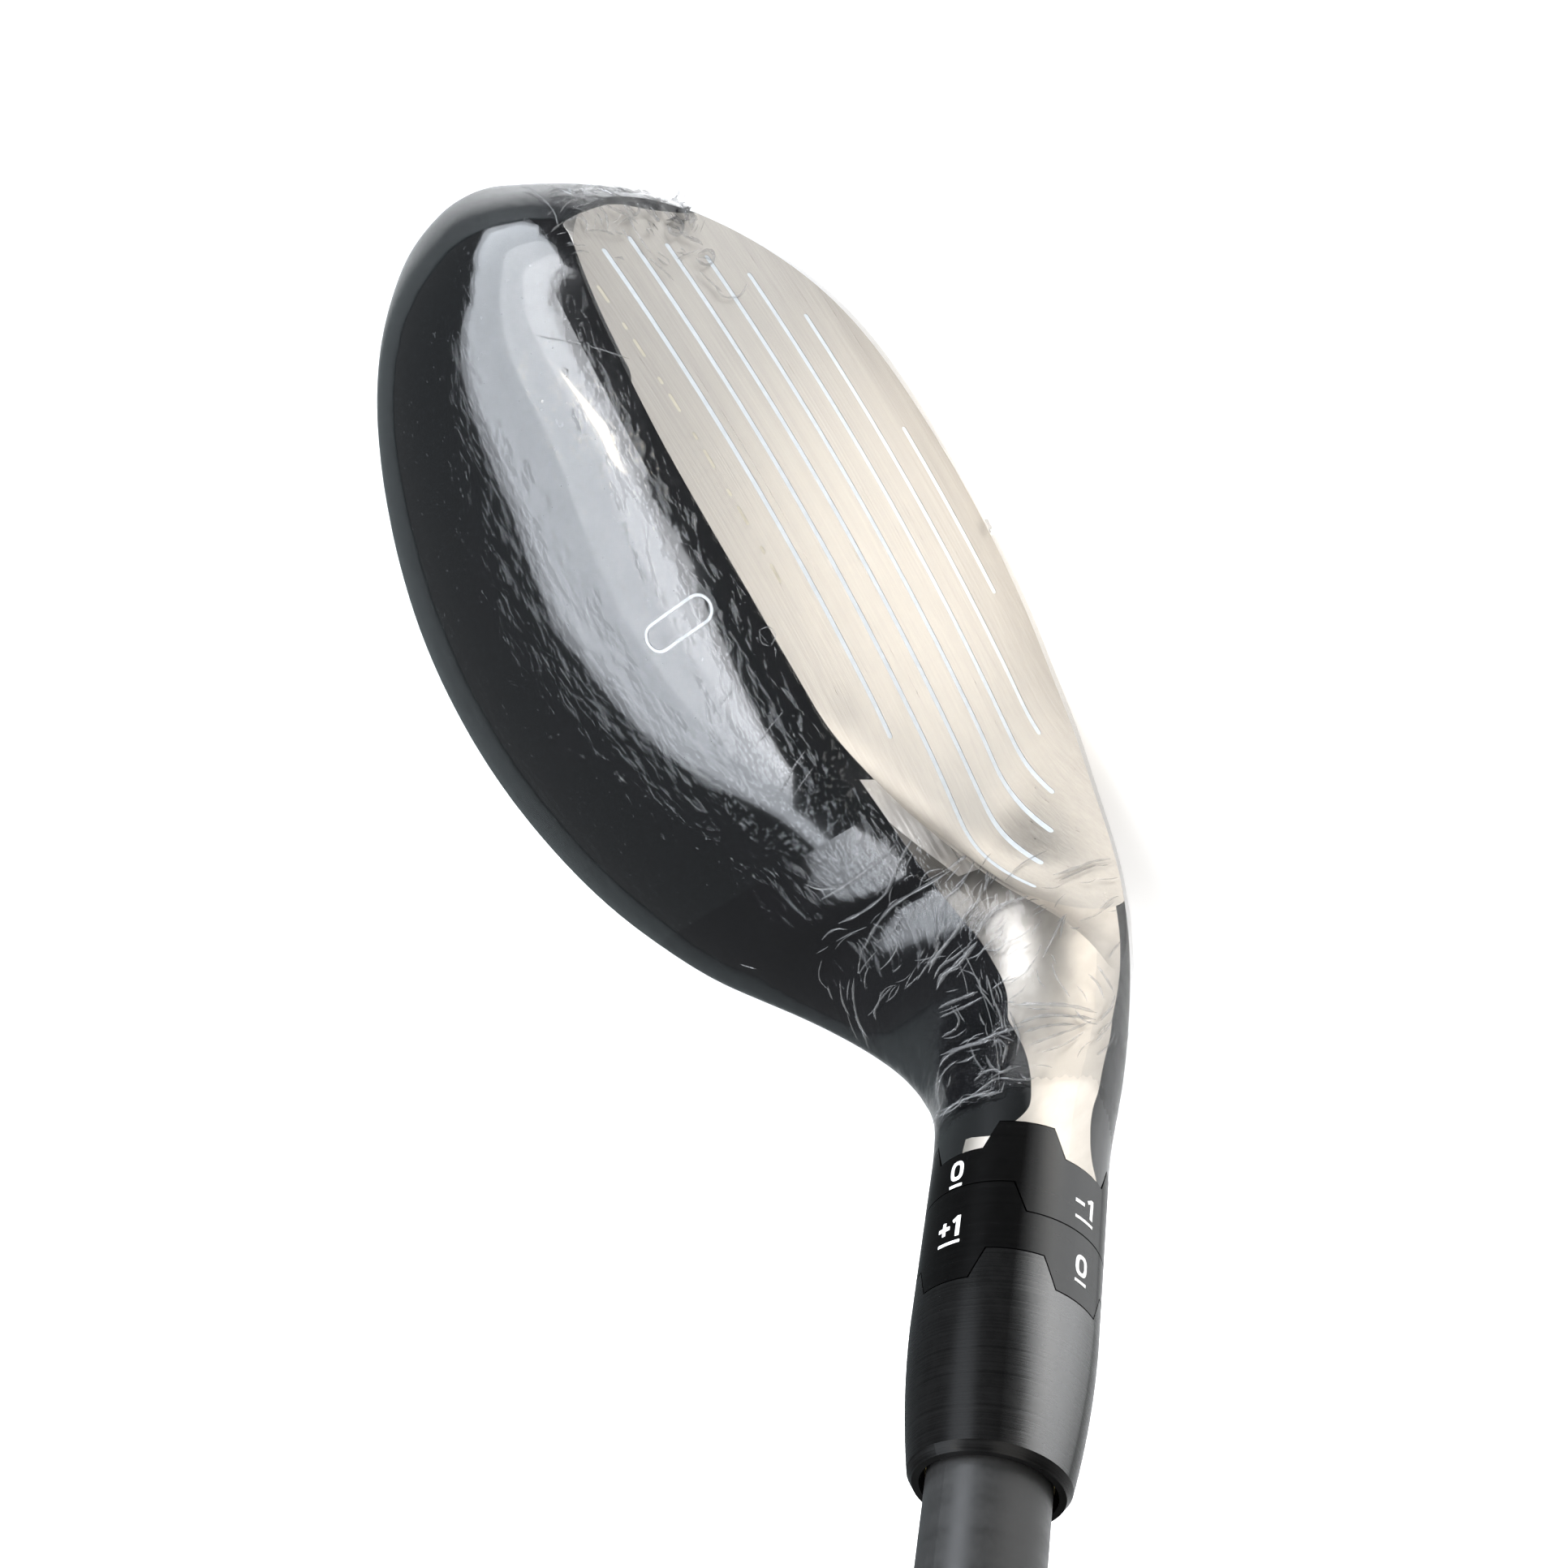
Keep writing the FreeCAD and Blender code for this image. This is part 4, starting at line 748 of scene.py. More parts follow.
def film_layers():
    """Outer and inner points of the film, and the side of each."""
    points, body_normals, face_normals, side = head_grid(-FILM_GAP, FILM_U, FILM_V)
    normals = np.where((side <= 0)[..., None], face_normals, body_normals)
    edge = side == 0
    normals[edge] = body_normals[edge] + face_normals[edge]
    normals = unit(normals)
    up_shaft = points @ AXIS
    heel = np.clip((up_shaft - 18) / 14, 0, 1)
    toe = np.clip((points[..., 0] - 66) / 8, 0, 1) * np.clip((8 - points[..., 1]) / 6, 0, 1)
    lift = (0.02 + 0.20 * heel * np.abs(smooth_noise(points, 1.1, 3))
            + 0.10 * heel * np.abs(smooth_noise(points, 2.6, 4))
            + 0.28 * toe * np.abs(smooth_noise(points, 2.0, 5))
            + 0.02 * smooth_noise(points, 0.5, 6))
    outer = points + normals * np.maximum(lift, 0)[..., None]
    trim_to_hem(outer, start=int(np.argmax(up_shaft.min(1) > 33)))
    # pressed flat where the head rests on the floor
    outer[..., 2] = np.maximum(outer[..., 2], -0.16)
    inner = outer - normals * FILM_THICKNESS
    inner[..., 2] = np.where(outer[..., 2] < -0.08, np.maximum(inner[..., 2], -0.06),
                             inner[..., 2])
    return outer, inner, side


outer_layer, inner_layer, film_side = film_layers()
outer_verts = grid_verts(outer_layer)
film_faces = grid_faces(film_side)


def add_film():
    """Both layers above the floor, joined along their open edges."""
    offset = len(outer_verts)
    kept = [f for f in film_faces if min(outer_verts[k][2] for k in f) > 0.02]
    edges = {}
    for f in kept:
        for a, b in zip(f, f[1:] + f[:1]):
            key = (min(a, b), max(a, b))
            edges[key] = edges.get(key, 0) + 1
    rim = [(a, b, offset + b, offset + a) for (a, b), uses in edges.items() if uses == 1]
    inner_faces = [tuple(offset + k for k in f)[::-1] for f in kept]
    verts = [scene(p) for p in outer_verts + grid_verts(inner_layer)]
    add_piece("film_wrap", verts, kept + inner_faces + rim, film_material(),
              "head", "head_film")


add_film()

# ------------------------------------------------------------- folds in the film
film_tree = BVHTree.FromPolygons([tuple(scene(p)) for p in outer_verts], film_faces)
camera_place = Vector(scene(CAM_PLACE))
fold_verts, fold_faces = [], []

# Creases as (right, down) points in the main view, width, height
HEEL_FOLDS = [
    ([(4.6, 14.2), (6.4, 13.2), (9.4, 11.2), (11.9, 9.2), (13.9, 7.3)], 0.62, 0.34),
    ([(6.7, 17.2), (9.6, 15.8), (12.4, 13.6), (13.4, 11.4), (14.4, 9.2), (15.7, 6.9)], 0.50, 0.30),
    ([(9.8, 20.4), (11.2, 17.7), (13.2, 15.2), (15.9, 13.4), (18.4, 12.0), (20.6, 10.6)],
     0.50, 0.32),
    ([(11.0, 19.7), (13.2, 18.4), (14.2, 16.6)], 0.32, 0.20),
    ([(15.2, 26.9), (17.4, 23.9), (18.4, 21.9), (19.9, 19.9), (21.4, 17.9), (22.2, 16.4),
      (23.4, 14.6)], 0.55, 0.32),
    ([(15.6, 27.4), (17.9, 24.9), (19.4, 22.4), (21.0, 21.4), (22.6, 20.0)], 0.45, 0.28),
    ([(16.4, 28.2), (18.4, 25.9), (19.9, 23.4), (21.6, 22.2), (23.8, 19.4)], 0.60, 0.34),
    ([(17.4, 28.6), (19.9, 27.2), (22.4, 26.2), (23.9, 25.6)], 0.55, 0.30),
    ([(15.6, 30.4), (18.9, 28.9), (22.4, 27.4), (24.6, 26.2)], 0.40, 0.24),
    ([(15.2, 35.2), (17.4, 34.0), (19.9, 33.2), (22.9, 32.2), (25.9, 31.0), (29.6, 29.8)],
     0.36, 0.24),
    ([(18.4, 40.6), (18.2, 38.4), (18.6, 35.9), (19.9, 33.9), (21.9, 32.6), (24.6, 31.9),
      (25.9, 31.4)], 0.34, 0.26),
    ([(19.2, 40.0), (19.0, 37.9), (19.7, 35.6), (21.4, 34.0)], 0.26, 0.18),
    ([(16.2, 35.9), (15.4, 33.9), (15.2, 31.9), (16.4, 30.6), (18.4, 29.6)], 0.34, 0.26),
    ([(15.6, 35.0), (14.6, 32.9), (14.6, 30.9), (15.6, 29.2)], 0.24, 0.18),
    ([(8.6, 23.9), (8.6, 26.4), (9.2, 29.2), (10.4, 31.4)], 0.26, 0.20),
    ([(6.9, 24.2), (7.2, 26.6), (8.1, 28.6)], 0.22, 0.16),
    ([(5.4, 24.9), (6.0, 26.6)], 0.18, 0.12),
    ([(11.7, 30.4), (11.2, 27.9), (12.2, 26.2), (13.4, 24.9)], 0.24, 0.18),
    ([(13.0, 31.6), (13.2, 29.9), (14.6, 28.2)], 0.22, 0.15),
    ([(9.4, 21.4), (9.2, 23.4), (10.0, 22.2), (11.6, 20.4)], 0.22, 0.16),
    ([(6.4, 19.4), (8.2, 18.4), (10.2, 17.6)], 0.20, 0.14),
    # across the face at the heel
    ([(20.2, 10.6), (21.9, 9.2), (23.2, 8.4), (23.9, 7.2)], 0.40, 0.24),
    ([(20.6, 13.2), (22.6, 11.2), (23.4, 9.6)], 0.24, 0.14),
    ([(22.2, 16.4), (23.8, 14.6), (24.4, 12.2)], 0.30, 0.18),
    ([(23.4, 19.2), (24.6, 16.9), (26.2, 15.2), (28.9, 14.2), (31.9, 13.2), (34.9, 12.4),
      (38.9, 12.6)], 0.42, 0.24),
    ([(23.9, 18.4), (25.4, 16.2), (27.4, 14.8)], 0.30, 0.18),
    ([(25.9, 13.4), (27.9, 11.2), (29.6, 9.6), (32.4, 8.2)], 0.22, 0.12),
    ([(33.2, 11.2), (35.4, 10.6), (37.9, 9.6), (40.2, 9.2)], 0.40, 0.22),
    ([(33.9, 11.9), (36.4, 10.8), (38.4, 10.0)], 0.24, 0.14),
    ([(31.9, 21.4), (33.4, 18.4), (35.2, 14.9), (36.4, 12.4)], 0.30, 0.14),
    ([(33.0, 22.2), (33.6, 23.9), (35.2, 26.2)], 0.22, 0.12),
    ([(27.8, 24.6), (29.6, 23.4), (31.2, 21.2)], 0.22, 0.12),
    ([(27.4, 21.2), (29.0, 20.2)], 0.18, 0.10),
    ([(28.4, 27.2), (32.4, 27.2), (35.4, 27.4), (38.6, 28.2)], 0.40, 0.26),
    ([(28.6, 29.6), (31.9, 28.6), (35.4, 28.6), (38.4, 29.0)], 0.40, 0.26),
    ([(29.6, 30.6), (32.6, 29.8), (35.9, 29.6)], 0.24, 0.16),
    ([(30.2, 32.2), (32.9, 31.2), (35.6, 30.2), (37.9, 29.2)], 0.26, 0.18),
    ([(31.9, 33.0), (34.4, 32.2), (36.9, 30.6)], 0.22, 0.14),
    ([(35.9, 27.9), (37.0, 29.2), (38.6, 29.6)], 0.24, 0.18),
    ([(37.4, 23.4), (38.6, 24.6), (39.4, 26.4)], 0.22, 0.16),
    ([(38.6, 22.4), (39.6, 23.9), (40.6, 25.6)], 0.22, 0.16),
    ([(39.0, 28.9), (40.2, 27.6), (40.8, 26.0)], 0.24, 0.18),
    ([(38.4, 31.6), (39.8, 30.2), (40.6, 28.6)], 0.22, 0.16),
    ([(38.6, 33.4), (40.0, 32.2), (40.8, 30.6)], 0.22, 0.16),
    ([(40.0, 21.4), (40.8, 20.2), (41.6, 19.2)], 0.22, 0.16),
    ([(38.9, 15.4), (40.2, 14.2), (41.2, 13.8)], 0.22, 0.14),
    ([(36.4, 16.9), (38.4, 16.2), (40.6, 14.6)], 0.18, 0.10),
    ([(28.6, 33.4), (29.0, 31.4), (28.4, 29.6), (27.8, 28.0)], 0.34, 0.26),
    ([(26.9, 34.4), (27.4, 32.6), (26.6, 31.6), (25.6, 32.4)], 0.34, 0.30),
    ([(24.8, 33.4), (25.8, 35.2), (27.2, 35.6), (28.0, 34.6)], 0.40, 0.30),
    ([(23.4, 36.6), (25.0, 35.4), (26.6, 35.2)], 0.26, 0.18),
    ([(25.8, 26.6), (26.6, 28.4), (27.0, 30.2)], 0.34, 0.26),
    ([(20.6, 27.4), (21.6, 29.0), (21.2, 30.2), (19.4, 31.2)], 0.34, 0.22),
    # film hem
    ([(18.6, 41.6), (20.9, 39.6), (23.9, 38.4), (27.2, 38.0)], 0.16, 0.12),
    ([(23.2, 38.4), (25.2, 37.0), (26.6, 36.3), (29.6, 36.5), (33.4, 36.4), (36.9, 36.4),
      (39.4, 35.0), (41.0, 35.6), (42.0, 36.8)], 0.20, 0.16),
    ([(26.6, 38.4), (26.5, 36.4), (26.3, 33.4), (25.6, 29.6), (24.6, 26.2), (23.0, 22.4),
      (21.4, 19.4)], 0.14, 0.10),
]
MIDDLE_FOLDS = [
    ([(-3.4, -4.8), (-1.4, -7.4), (0.0, -9.0)], 0.16, 0.08),
    ([(-0.8, 1.4), (0.9, -1.6), (2.6, -4.1)], 0.22, 0.10),
    ([(0.6, 2.4), (2.4, -0.4), (3.6, -2.0)], 0.16, 0.08),
    ([(-31.1, -55.4), (-26.6, -54.6), (-22.1, -53.4), (-19.1, -52.4)], 0.16, 0.07),
    ([(-8.3, -9.4), (-6.4, -11.6), (-5.0, -12.4)], 0.14, 0.06),
    ([(-10.0, -19.6), (-8.6, -18.4), (-6.6, -17.6)], 0.12, 0.06),
    ([(-27.4, -51.4), (-27.0, -50.8), (-27.2, -50.2)], 0.24, 0.14),
    ([(-20.4, -1.1), (-19.4, -0.1)], 0.18, 0.10),
    ([(-5.4, 22.2), (-3.4, 22.8)], 0.18, 0.10),
    ([(-3.0, -19.0), (-2.8, -17.4), (-1.8, -17.0)], 0.16, 0.12),
    ([(-3.0, -19.0), (-1.8, -19.4), (-1.0, -18.4), (-1.6, -17.0)], 0.14, 0.10),
    ([(-27.8, -68.6), (-28.3, -70.4), (-29.4, -71.8), (-31.1, -73.2), (-32.6, -73.6)],
     0.18, 0.14),
]
TOE_FOLDS = [
    ([(-27.6, -70.4), (-26.6, -71.6), (-25.1, -72.0)], 0.3, 0.2),
    ([(-29.0, -72.6), (-27.6, -73.0), (-26.0, -72.6)], 0.3, 0.2),
    ([(-26.0, -72.8), (-24.6, -73.0), (-24.6, -72.2), (-25.8, -71.8)], 0.3, 0.22),
    ([(-23.4, -73.4), (-21.6, -72.8), (-19.8, -72.0)], 0.3, 0.22),
    ([(-22.2, -71.4), (-20.6, -70.6), (-18.8, -69.8), (-18.0, -69.0)], 0.3, 0.18),
    ([(-19.8, -71.6), (-18.8, -72.0), (-17.8, -71.0), (-18.2, -70.0), (-19.2, -70.4),
      (-19.8, -71.6)], 0.3, 0.26),
    ([(-17.6, -71.6), (-16.6, -70.4), (-15.4, -69.2), (-16.0, -70.2), (-16.6, -71.4)], 0.3, 0.26),
    ([(-15.4, -71.4), (-14.6, -70.4), (-13.6, -69.4), (-12.4, -69.0)], 0.34, 0.3),
    ([(-14.4, -69.4), (-13.4, -69.8), (-12.4, -68.8), (-12.8, -67.6), (-14.0, -67.8),
      (-14.4, -69.0)], 0.3, 0.3),
    ([(-12.8, -68.0), (-11.8, -67.2), (-10.6, -66.8), (-10.0, -66.4)], 0.3, 0.28),
    ([(-10.6, -65.4), (-9.4, -65.8), (-8.6, -65.0), (-9.0, -64.0), (-10.2, -64.0),
      (-10.8, -64.8)], 0.3, 0.28),
    ([(-12.4, -71.0), (-11.8, -69.8), (-12.4, -69.4)], 0.34, 0.34),
    ([(-23.1, -71.4), (-22.1, -70.4), (-21.6, -69.1)], 0.22, 0.14),
    ([(-26.6, -69.4), (-25.4, -69.8), (-24.2, -69.0), (-24.4, -68.2)], 0.22, 0.14),
    ([(-20.4, -69.0), (-19.2, -69.8), (-18.6, -68.6), (-17.6, -67.0), (-16.4, -65.4)],
     0.26, 0.16),
    ([(-16.6, -64.8), (-15.0, -63.4), (-13.6, -62.0)], 0.2, 0.10),
    ([(-8.6, -61.4), (-7.4, -60.0), (-5.4, -60.2), (-4.6, -61.6)], 0.22, 0.12),
    ([(-10.4, -63.2), (-9.0, -61.8), (-7.6, -60.6)], 0.2, 0.12),
    ([(-24.6, -68.1), (-22.6, -68.2), (-20.8, -67.6)], 0.18, 0.10),
    ([(-17.4, -72.6), (-15.8, -72.0), (-14.2, -71.8)], 0.32, 0.28),
    ([(-20.6, -73.4), (-19.0, -72.8), (-17.6, -73.0)], 0.3, 0.24),
    ([(-14.0, -71.8), (-13.0, -72.4), (-12.0, -71.6)], 0.34, 0.34),
    ([(-11.6, -70.4), (-11.0, -69.2), (-11.4, -68.2)], 0.3, 0.28),
]
# Standing fins: (right, down) points, height
FRILLS = [
    ([(-24.2, -73.1), (-22.1, -73.2), (-19.6, -73.0), (-17.1, -72.8), (-15.4, -72.6)], 0.75),
    ([(-17.1, -72.6), (-16.0, -73.0), (-14.6, -72.4), (-13.2, -71.6)], 1.05),
    ([(-14.0, -72.0), (-12.8, -71.6), (-12.0, -70.4), (-11.6, -69.0)], 1.9),
    ([(-13.0, -71.6), (-12.4, -70.6), (-12.0, -69.4)], 1.3),
    ([(-29.0, -73.0), (-27.6, -73.2), (-25.4, -73.0)], 0.4),
    ([(-16.2, -72.0), (-15.4, -71.6), (-14.4, -71.0)], 0.9),
    ([(24.8, -32.6), (25.2, -31.8), (25.4, -31.0)], 0.9),
]
# Cross-section of a crease: sideways by width, outwards by height; the crest also leans
FOLD_LEFT = [(-0.5, -0.03), (-0.22, 0.45)]
FOLD_RIGHT = [(0.25, 0.40), (0.5, -0.03), (0.0, -0.06)]


def on_film(right, down):
    """Point and normal of the film seen at a place in the view, or None."""
    place, normal = film_tree.ray_cast(camera_place, Vector(view_ray(right, down)))[:2]
    if place is None:
        return None
    sight = camera_place - place
    if normal.dot(sight) < 0:
        normal.negate()
    point = np.array(place) / MM + SCENE_ORIGIN
    outward = point - np.dot(point, AXIS) * AXIS
    if np.dot(point, AXIS) > 30 and np.dot(outward, np.array(sight)) < 0:
        return None  # far side of the hosel, seen past the hem
    return point, np.array(normal)


def spline(points, step):
    """Catmull-Rom curve through the points, sampled about every step mm."""
    def samples(a, b, least):
        # the small addition keeps whole counts whole
        return max(least, int(np.linalg.norm(b - a) / step + 1e-9))

    p = np.array(points, float)
    if len(p) == 2:
        return p[0] + (p[1] - p[0]) * np.linspace(0, 1, samples(p[0], p[1], 3))[:, None]
    q = np.vstack([2 * p[0] - p[1], p, 2 * p[-1] - p[-2]])
    curve = []
    for a, b, c, d in zip(q, q[1:], q[2:], q[3:]):
        for t in np.linspace(0, 1, samples(b, c, 2), endpoint=False):
            curve.append(0.5 * ((2 * b) + (-a + c) * t + (2 * a - 5 * b + 4 * c - d) * t * t
                                + (-a + 3 * b - 3 * c + d) * t ** 3))
    curve.append(q[-2])
    return np.array(curve)


def film_run(points, step):
    """Points and normals on the film along a view line: its longest stretch
    that doesn't jump across the hosel, or None if that is too short."""
    hits = [on_film(x, y) for x, y in spline(points, step)]
    hits = [hit for hit in hits if hit is not None]
    jumps = [i + 1 for i in range(len(hits) - 1)
             if np.linalg.norm(hits[i + 1][0] - hits[i][0]) > 1.5]
    cuts = [0] + jumps + [len(hits)]
    start, end = max(zip(cuts, cuts[1:]), key=lambda cut: cut[1] - cut[0])
    if end - start < 4:
        return None
    places, normals = zip(*hits[start:end])
    return np.array(places), np.array(normals)


def fold(points, width, height, seed, lean=0.0, fade=0.15):
    """A raised crease in the film; fade is the share tapered at each end."""
    rng = np.random.default_rng(seed)
    run = film_run(points, step=0.3)
    if run is None:
        return
    for line in run:
        for _ in range(2):
            line[1:-1] = (line[:-2] + 2 * line[1:-1] + line[2:]) / 4
    places, normals = run
    tangents = unit(np.gradient(places, axis=0), 1e-9)
    normals = unit(normals - (normals * tangents).sum(1, keepdims=True) * tangents, 1e-9)
    sideways = np.cross(tangents, normals)
    count = len(places)
    t = np.linspace(0, 1, count)
    taper = smoothstep(np.clip(t / fade, 0, 1) * np.clip((1 - t) / fade, 0, 1))
    wobble = 1 + (0.35 * np.sin(t * rng.uniform(8, 16) + rng.uniform(0, 6))
                  * np.sin(t * rng.uniform(17, 31)))
    widths = width * (0.35 + 0.65 * taper) * wobble
    heights = height * taper * wobble + 0.015
    ring = FOLD_LEFT + [(lean * 0.3, 1.0)] + FOLD_RIGHT
    base, size = len(fold_verts), len(ring)
    for i in range(count):
        for side, out in ring:
            fold_verts.append(scene(places[i] + sideways[i] * (side * widths[i])
                                    + normals[i] * (out * heights[i])))
    for i in range(count - 1):
        for j in range(size):
            a, b = base + i * size + j, base + i * size + (j + 1) % size
            fold_faces.append((a, b, b + size, a + size))
    fold_faces.append(tuple(base + j for j in range(size))[::-1])
    fold_faces.append(tuple(base + (count - 1) * size + j for j in range(size)))


def crinkle(folds, box, count, length, width, height, seed):
    """Fine creases that run with the nearest drawn ones.
    box is left, top, right and bottom in the view; the sizes are (least, most)."""
    rng = np.random.default_rng(seed)
    lines = [spline(points, step=0.4) for points, _, _ in folds]
    starts = np.vstack([line[:-1] for line in lines])
    courses = unit(np.vstack([np.diff(line, axis=0) for line in lines]), 1e-9)
    made = 0
    while made < count:
        centre = np.array([rng.uniform(box[0], box[2]), rng.uniform(box[1], box[3])])
        distances = np.linalg.norm(starts - centre, axis=1)
        nearest = int(distances.argmin())
        if distances[nearest] > 3.4:
            made += 0.2
            continue
        course = unit(courses[nearest] + rng.normal(0, 0.16, 2))
        span = rng.uniform(*length)
        bow = np.array([-course[1], course[0]]) * rng.normal(0, 0.10) * span
        points = [centre - course * span / 2, centre - course * span / 6 + bow,
                  centre + course * span / 6 + bow * 1.1, centre + course * span / 2]
        fold(points, rng.uniform(*width), rng.uniform(*height), seed=int(rng.integers(1e6)),
             lean=rng.uniform(-0.7, 0.7), fade=0.35)
        made += 1


def frill(points, height, seed):
    """A thin standing fin of gathered film, ruffled along its top edge."""
    rng = np.random.default_rng(seed)
    run = film_run(points, step=0.2)
    if run is None:
        return
    places, normals = run
    sideways = np.cross(unit(np.gradient(places, axis=0), 1e-9), normals)
    count = len(places)
    t = np.linspace(0, 1, count)
    taper = np.sin(np.pi * np.clip(t, 0.02, 0.98)) ** 0.6
    ruffle = (np.abs(np.sin(t * rng.uniform(7, 13) + rng.uniform(0, 3)))
              * np.abs(np.sin(t * rng.uniform(3, 5) + 1)))
    rise = height * taper * (0.55 + 0.45 * ruffle)
    sway = 0.35 * np.sin(t * rng.uniform(12, 22) + rng.uniform(0, 6))
    rows, half_thickness = 5, 0.05
    base = len(fold_verts)
    for sign in (1, -1):
        for i in range(count):
            for row in range(rows):
                f = row / (rows - 1)
                shift = sway[i] * f * f * height + sign * half_thickness * (1 - 0.8 * f)
                fold_verts.append(scene(places[i] + normals[i] * (rise[i] * f - 0.05)
                                        + sideways[i] * shift))

    def vert(side, i, row):
        return base + side * count * rows + i * rows + row

    top = rows - 1
    for i in range(count - 1):
        k = i + 1
        for row in range(top):
            up = row + 1
            fold_faces.append((vert(0, i, row), vert(0, k, row), vert(0, k, up), vert(0, i, up)))
            fold_faces.append((vert(1, i, row), vert(1, i, up), vert(1, k, up), vert(1, k, row)))
        fold_faces.append((vert(0, i, top), vert(0, k, top), vert(1, k, top), vert(1, i, top)))
        fold_faces.append((vert(0, i, 0), vert(1, i, 0), vert(1, k, 0), vert(0, k, 0)))
    for i in (0, count - 1):
        fold_faces.append(tuple(vert(0, i, row) for row in range(rows))
                          + tuple(vert(1, i, row) for row in reversed(range(rows))))


film_fold = fold_material()
for i, (points, width, height) in enumerate(HEEL_FOLDS):
    fold(points, width * 0.72, height * 0.95, seed=i, lean=lean_rng.uniform(-0.6, 0.6))
crinkle(HEEL_FOLDS, box=(4.4, 9.4, 27.4, 41.4), count=120, length=(1.4, 4.6),
        width=(0.09, 0.24), height=(0.06, 0.17), seed=31)
crinkle(HEEL_FOLDS, box=(21.4, 9.4, 41.9, 36.4), count=60, length=(1.0, 3.0),
        width=(0.08, 0.18), height=(0.05, 0.12), seed=32)
for i, (points, width, height) in enumerate(MIDDLE_FOLDS):
    fold(points, width, height, seed=100 + i)
for i, (points, width, height) in enumerate(TOE_FOLDS):
    fold(points, width * 0.8, height * 1.3, seed=200 + i, lean=lean_rng.uniform(-0.9, 0.9))
crinkle(TOE_FOLDS, box=(-29.6, -73.8, -8.6, -63.6), count=60, length=(0.6, 2.2),
        width=(0.08, 0.2), height=(0.06, 0.22), seed=33)
for i, (points, height) in enumerate(FRILLS):
    frill(points, height, seed=i + 1)
add_piece("film_folds", fold_verts, fold_faces, film_fold, "head", "head_film")

# --------------------------------------------------------------------- grip
# Stations are distances up the shaft
GRIP_START, GRIP_END = 757.0, 1026.5
TAPER_START, TAPER_START_RADIUS = 190, 4.74            # of the shaft
TAPER_END, TAPER_END_RADIUS = GRIP_END - 220, 7.62
SHAFT_RADIUS = TAPER_START_RADIUS + ((757 - TAPER_START) * (TAPER_END_RADIUS - TAPER_START_RADIUS)
                                     / (TAPER_END - TAPER_START))   # where the grip starts
BORE_RADIUS = 7.98
GRIP_STATIONS = np.concatenate([
    [756.3, 756.5, 757.0, 757.7, 760.0, 762.0, 762.5, 762.9, 764.0, 764.4, 764.8],
    np.arange(765.2, 1026.3, 0.62), [1026.4, GRIP_END]])
# Station, radius
GRIP_PROFILE = [(756.3, 8.7), (756.5, 9.15), (757.0, 9.4), (762, 9.4), (762.5, 9.08),
                (764.2, 9.08), (764.8, 9.45), (877, 10.9), (GRIP_END, 12.9)]
GRIP_BORE = [(GRIP_END, BORE_RADIUS), (TAPER_END, BORE_RADIUS), (757.02, SHAFT_RADIUS + 0.36),
             (756.98, SHAFT_RADIUS + 0.015), (756.3, SHAFT_RADIUS + 0.015)]
CAP_PROFILE = [
    (1026.5, 9.0), (1026.5, 13.6), (1026.8, 13.95), (1027.2, 14.08), (1028.3, 14.08),
    (1028.8, 13.9), (1029.3, 13.3), (1029.8, 12.9), (1030.4, 12.2), (1030.9, 11.2),
    (1030.98, 10.4), (1030.6, 10.1), (1030.6, 9.3), (1030.98, 9.0), (1030.98, 6.6),
    (1030.6, 6.3), (1030.6, 5.5), (1030.95, 5.2), (1030.95, 1.55)]
CAP_BORE = [(1030.9, 1.5), (1024.3, 1.5), (1024.3, 7.6), (1026.4, 7.6)]


def grip_rubber():
    sh = new_material("grip_rubber", base=(0.014, 0.014, 0.0145), rough=0.62)
    place = sh.coords()
    grain = sh.noise(place, scale=2600, detail=4.0, rough=0.7)
    clouds = sh.noise(place, scale=60)
    tone = sh.plus(sh.times(grain, 0.6), sh.times(clouds, 0.4))
    sh.set(Base_Color=sh.ramp(tone, (0.3, (0.006, 0.006, 0.0062)), (0.7, (0.015, 0.015, 0.0155))),
           Roughness=sh.ramp(grain, (0.3, 0.5), (0.7, 0.75)))
    sh.bump(grain, strength=0.25, distance=0.0002)
    return sh.owner


def lathe(name, outside, inside, segments, lowering, replaced):
    """Round piece on the shaft axis from (station, radius) profiles.
    lowering(station, angles, radius) is how far the outside surface is cut in."""
    angles = np.arange(segments) * 2 * math.pi / segments
    rings = [(s, r - lowering(s, angles, r)) for s, r in outside]
    rings += [(s, np.full(segments, r)) for s, r in inside]
    verts = [scene(AXIS * s + ACROSS * (r * math.cos(a)) - Y_AXIS * (r * math.sin(a)))
             for s, radii in rings for a, r in zip(angles, radii)]
    total, last_outside = len(rings), len(outside) - 1

    def quad(i, j):
        here, after = i * segments, (i + 1) % total * segments
        k = (j + 1) % segments
        return here + j, here + k, after + k, after + j

    faces = [quad(i, j) for i in range(total - 1) if i != last_outside for j in range(segments)]
    # the two bands that join the outside to the inside
    faces += [quad(i, j) for j in range(segments) for i in (last_outside, total - 1)]
    add_piece(name, verts, faces, rubber, "shaft_group", replaced)


def grip_pattern(station, angles, _):
    """Bands of slanted diamonds, with a groove between them."""
    z = station - GRIP_START
    if z < 9 or z > 262:
        return np.zeros_like(angles)
    share = ((z - 9) % 42.0) / 42.0
    fade = np.clip(min(share, 0.88 - share) / 0.05, 0, 1) if share < 0.88 else 0.0
    wave = np.sin(angles * 12 + z * 0.9) * np.sin(angles * 12 - z * 0.9)
    diamonds = np.clip((wave - 0.05) * 3.0, 0, 1)
    groove = 0.35 if 0.93 < share < 0.965 else 0.0
    return 0.30 * diamonds * fade + groove


def cap_flutes(_, angles, radius):
    return 0.14 * (np.sin(angles * 36) > 0.2) if radius > 13.9 else 0 * angles


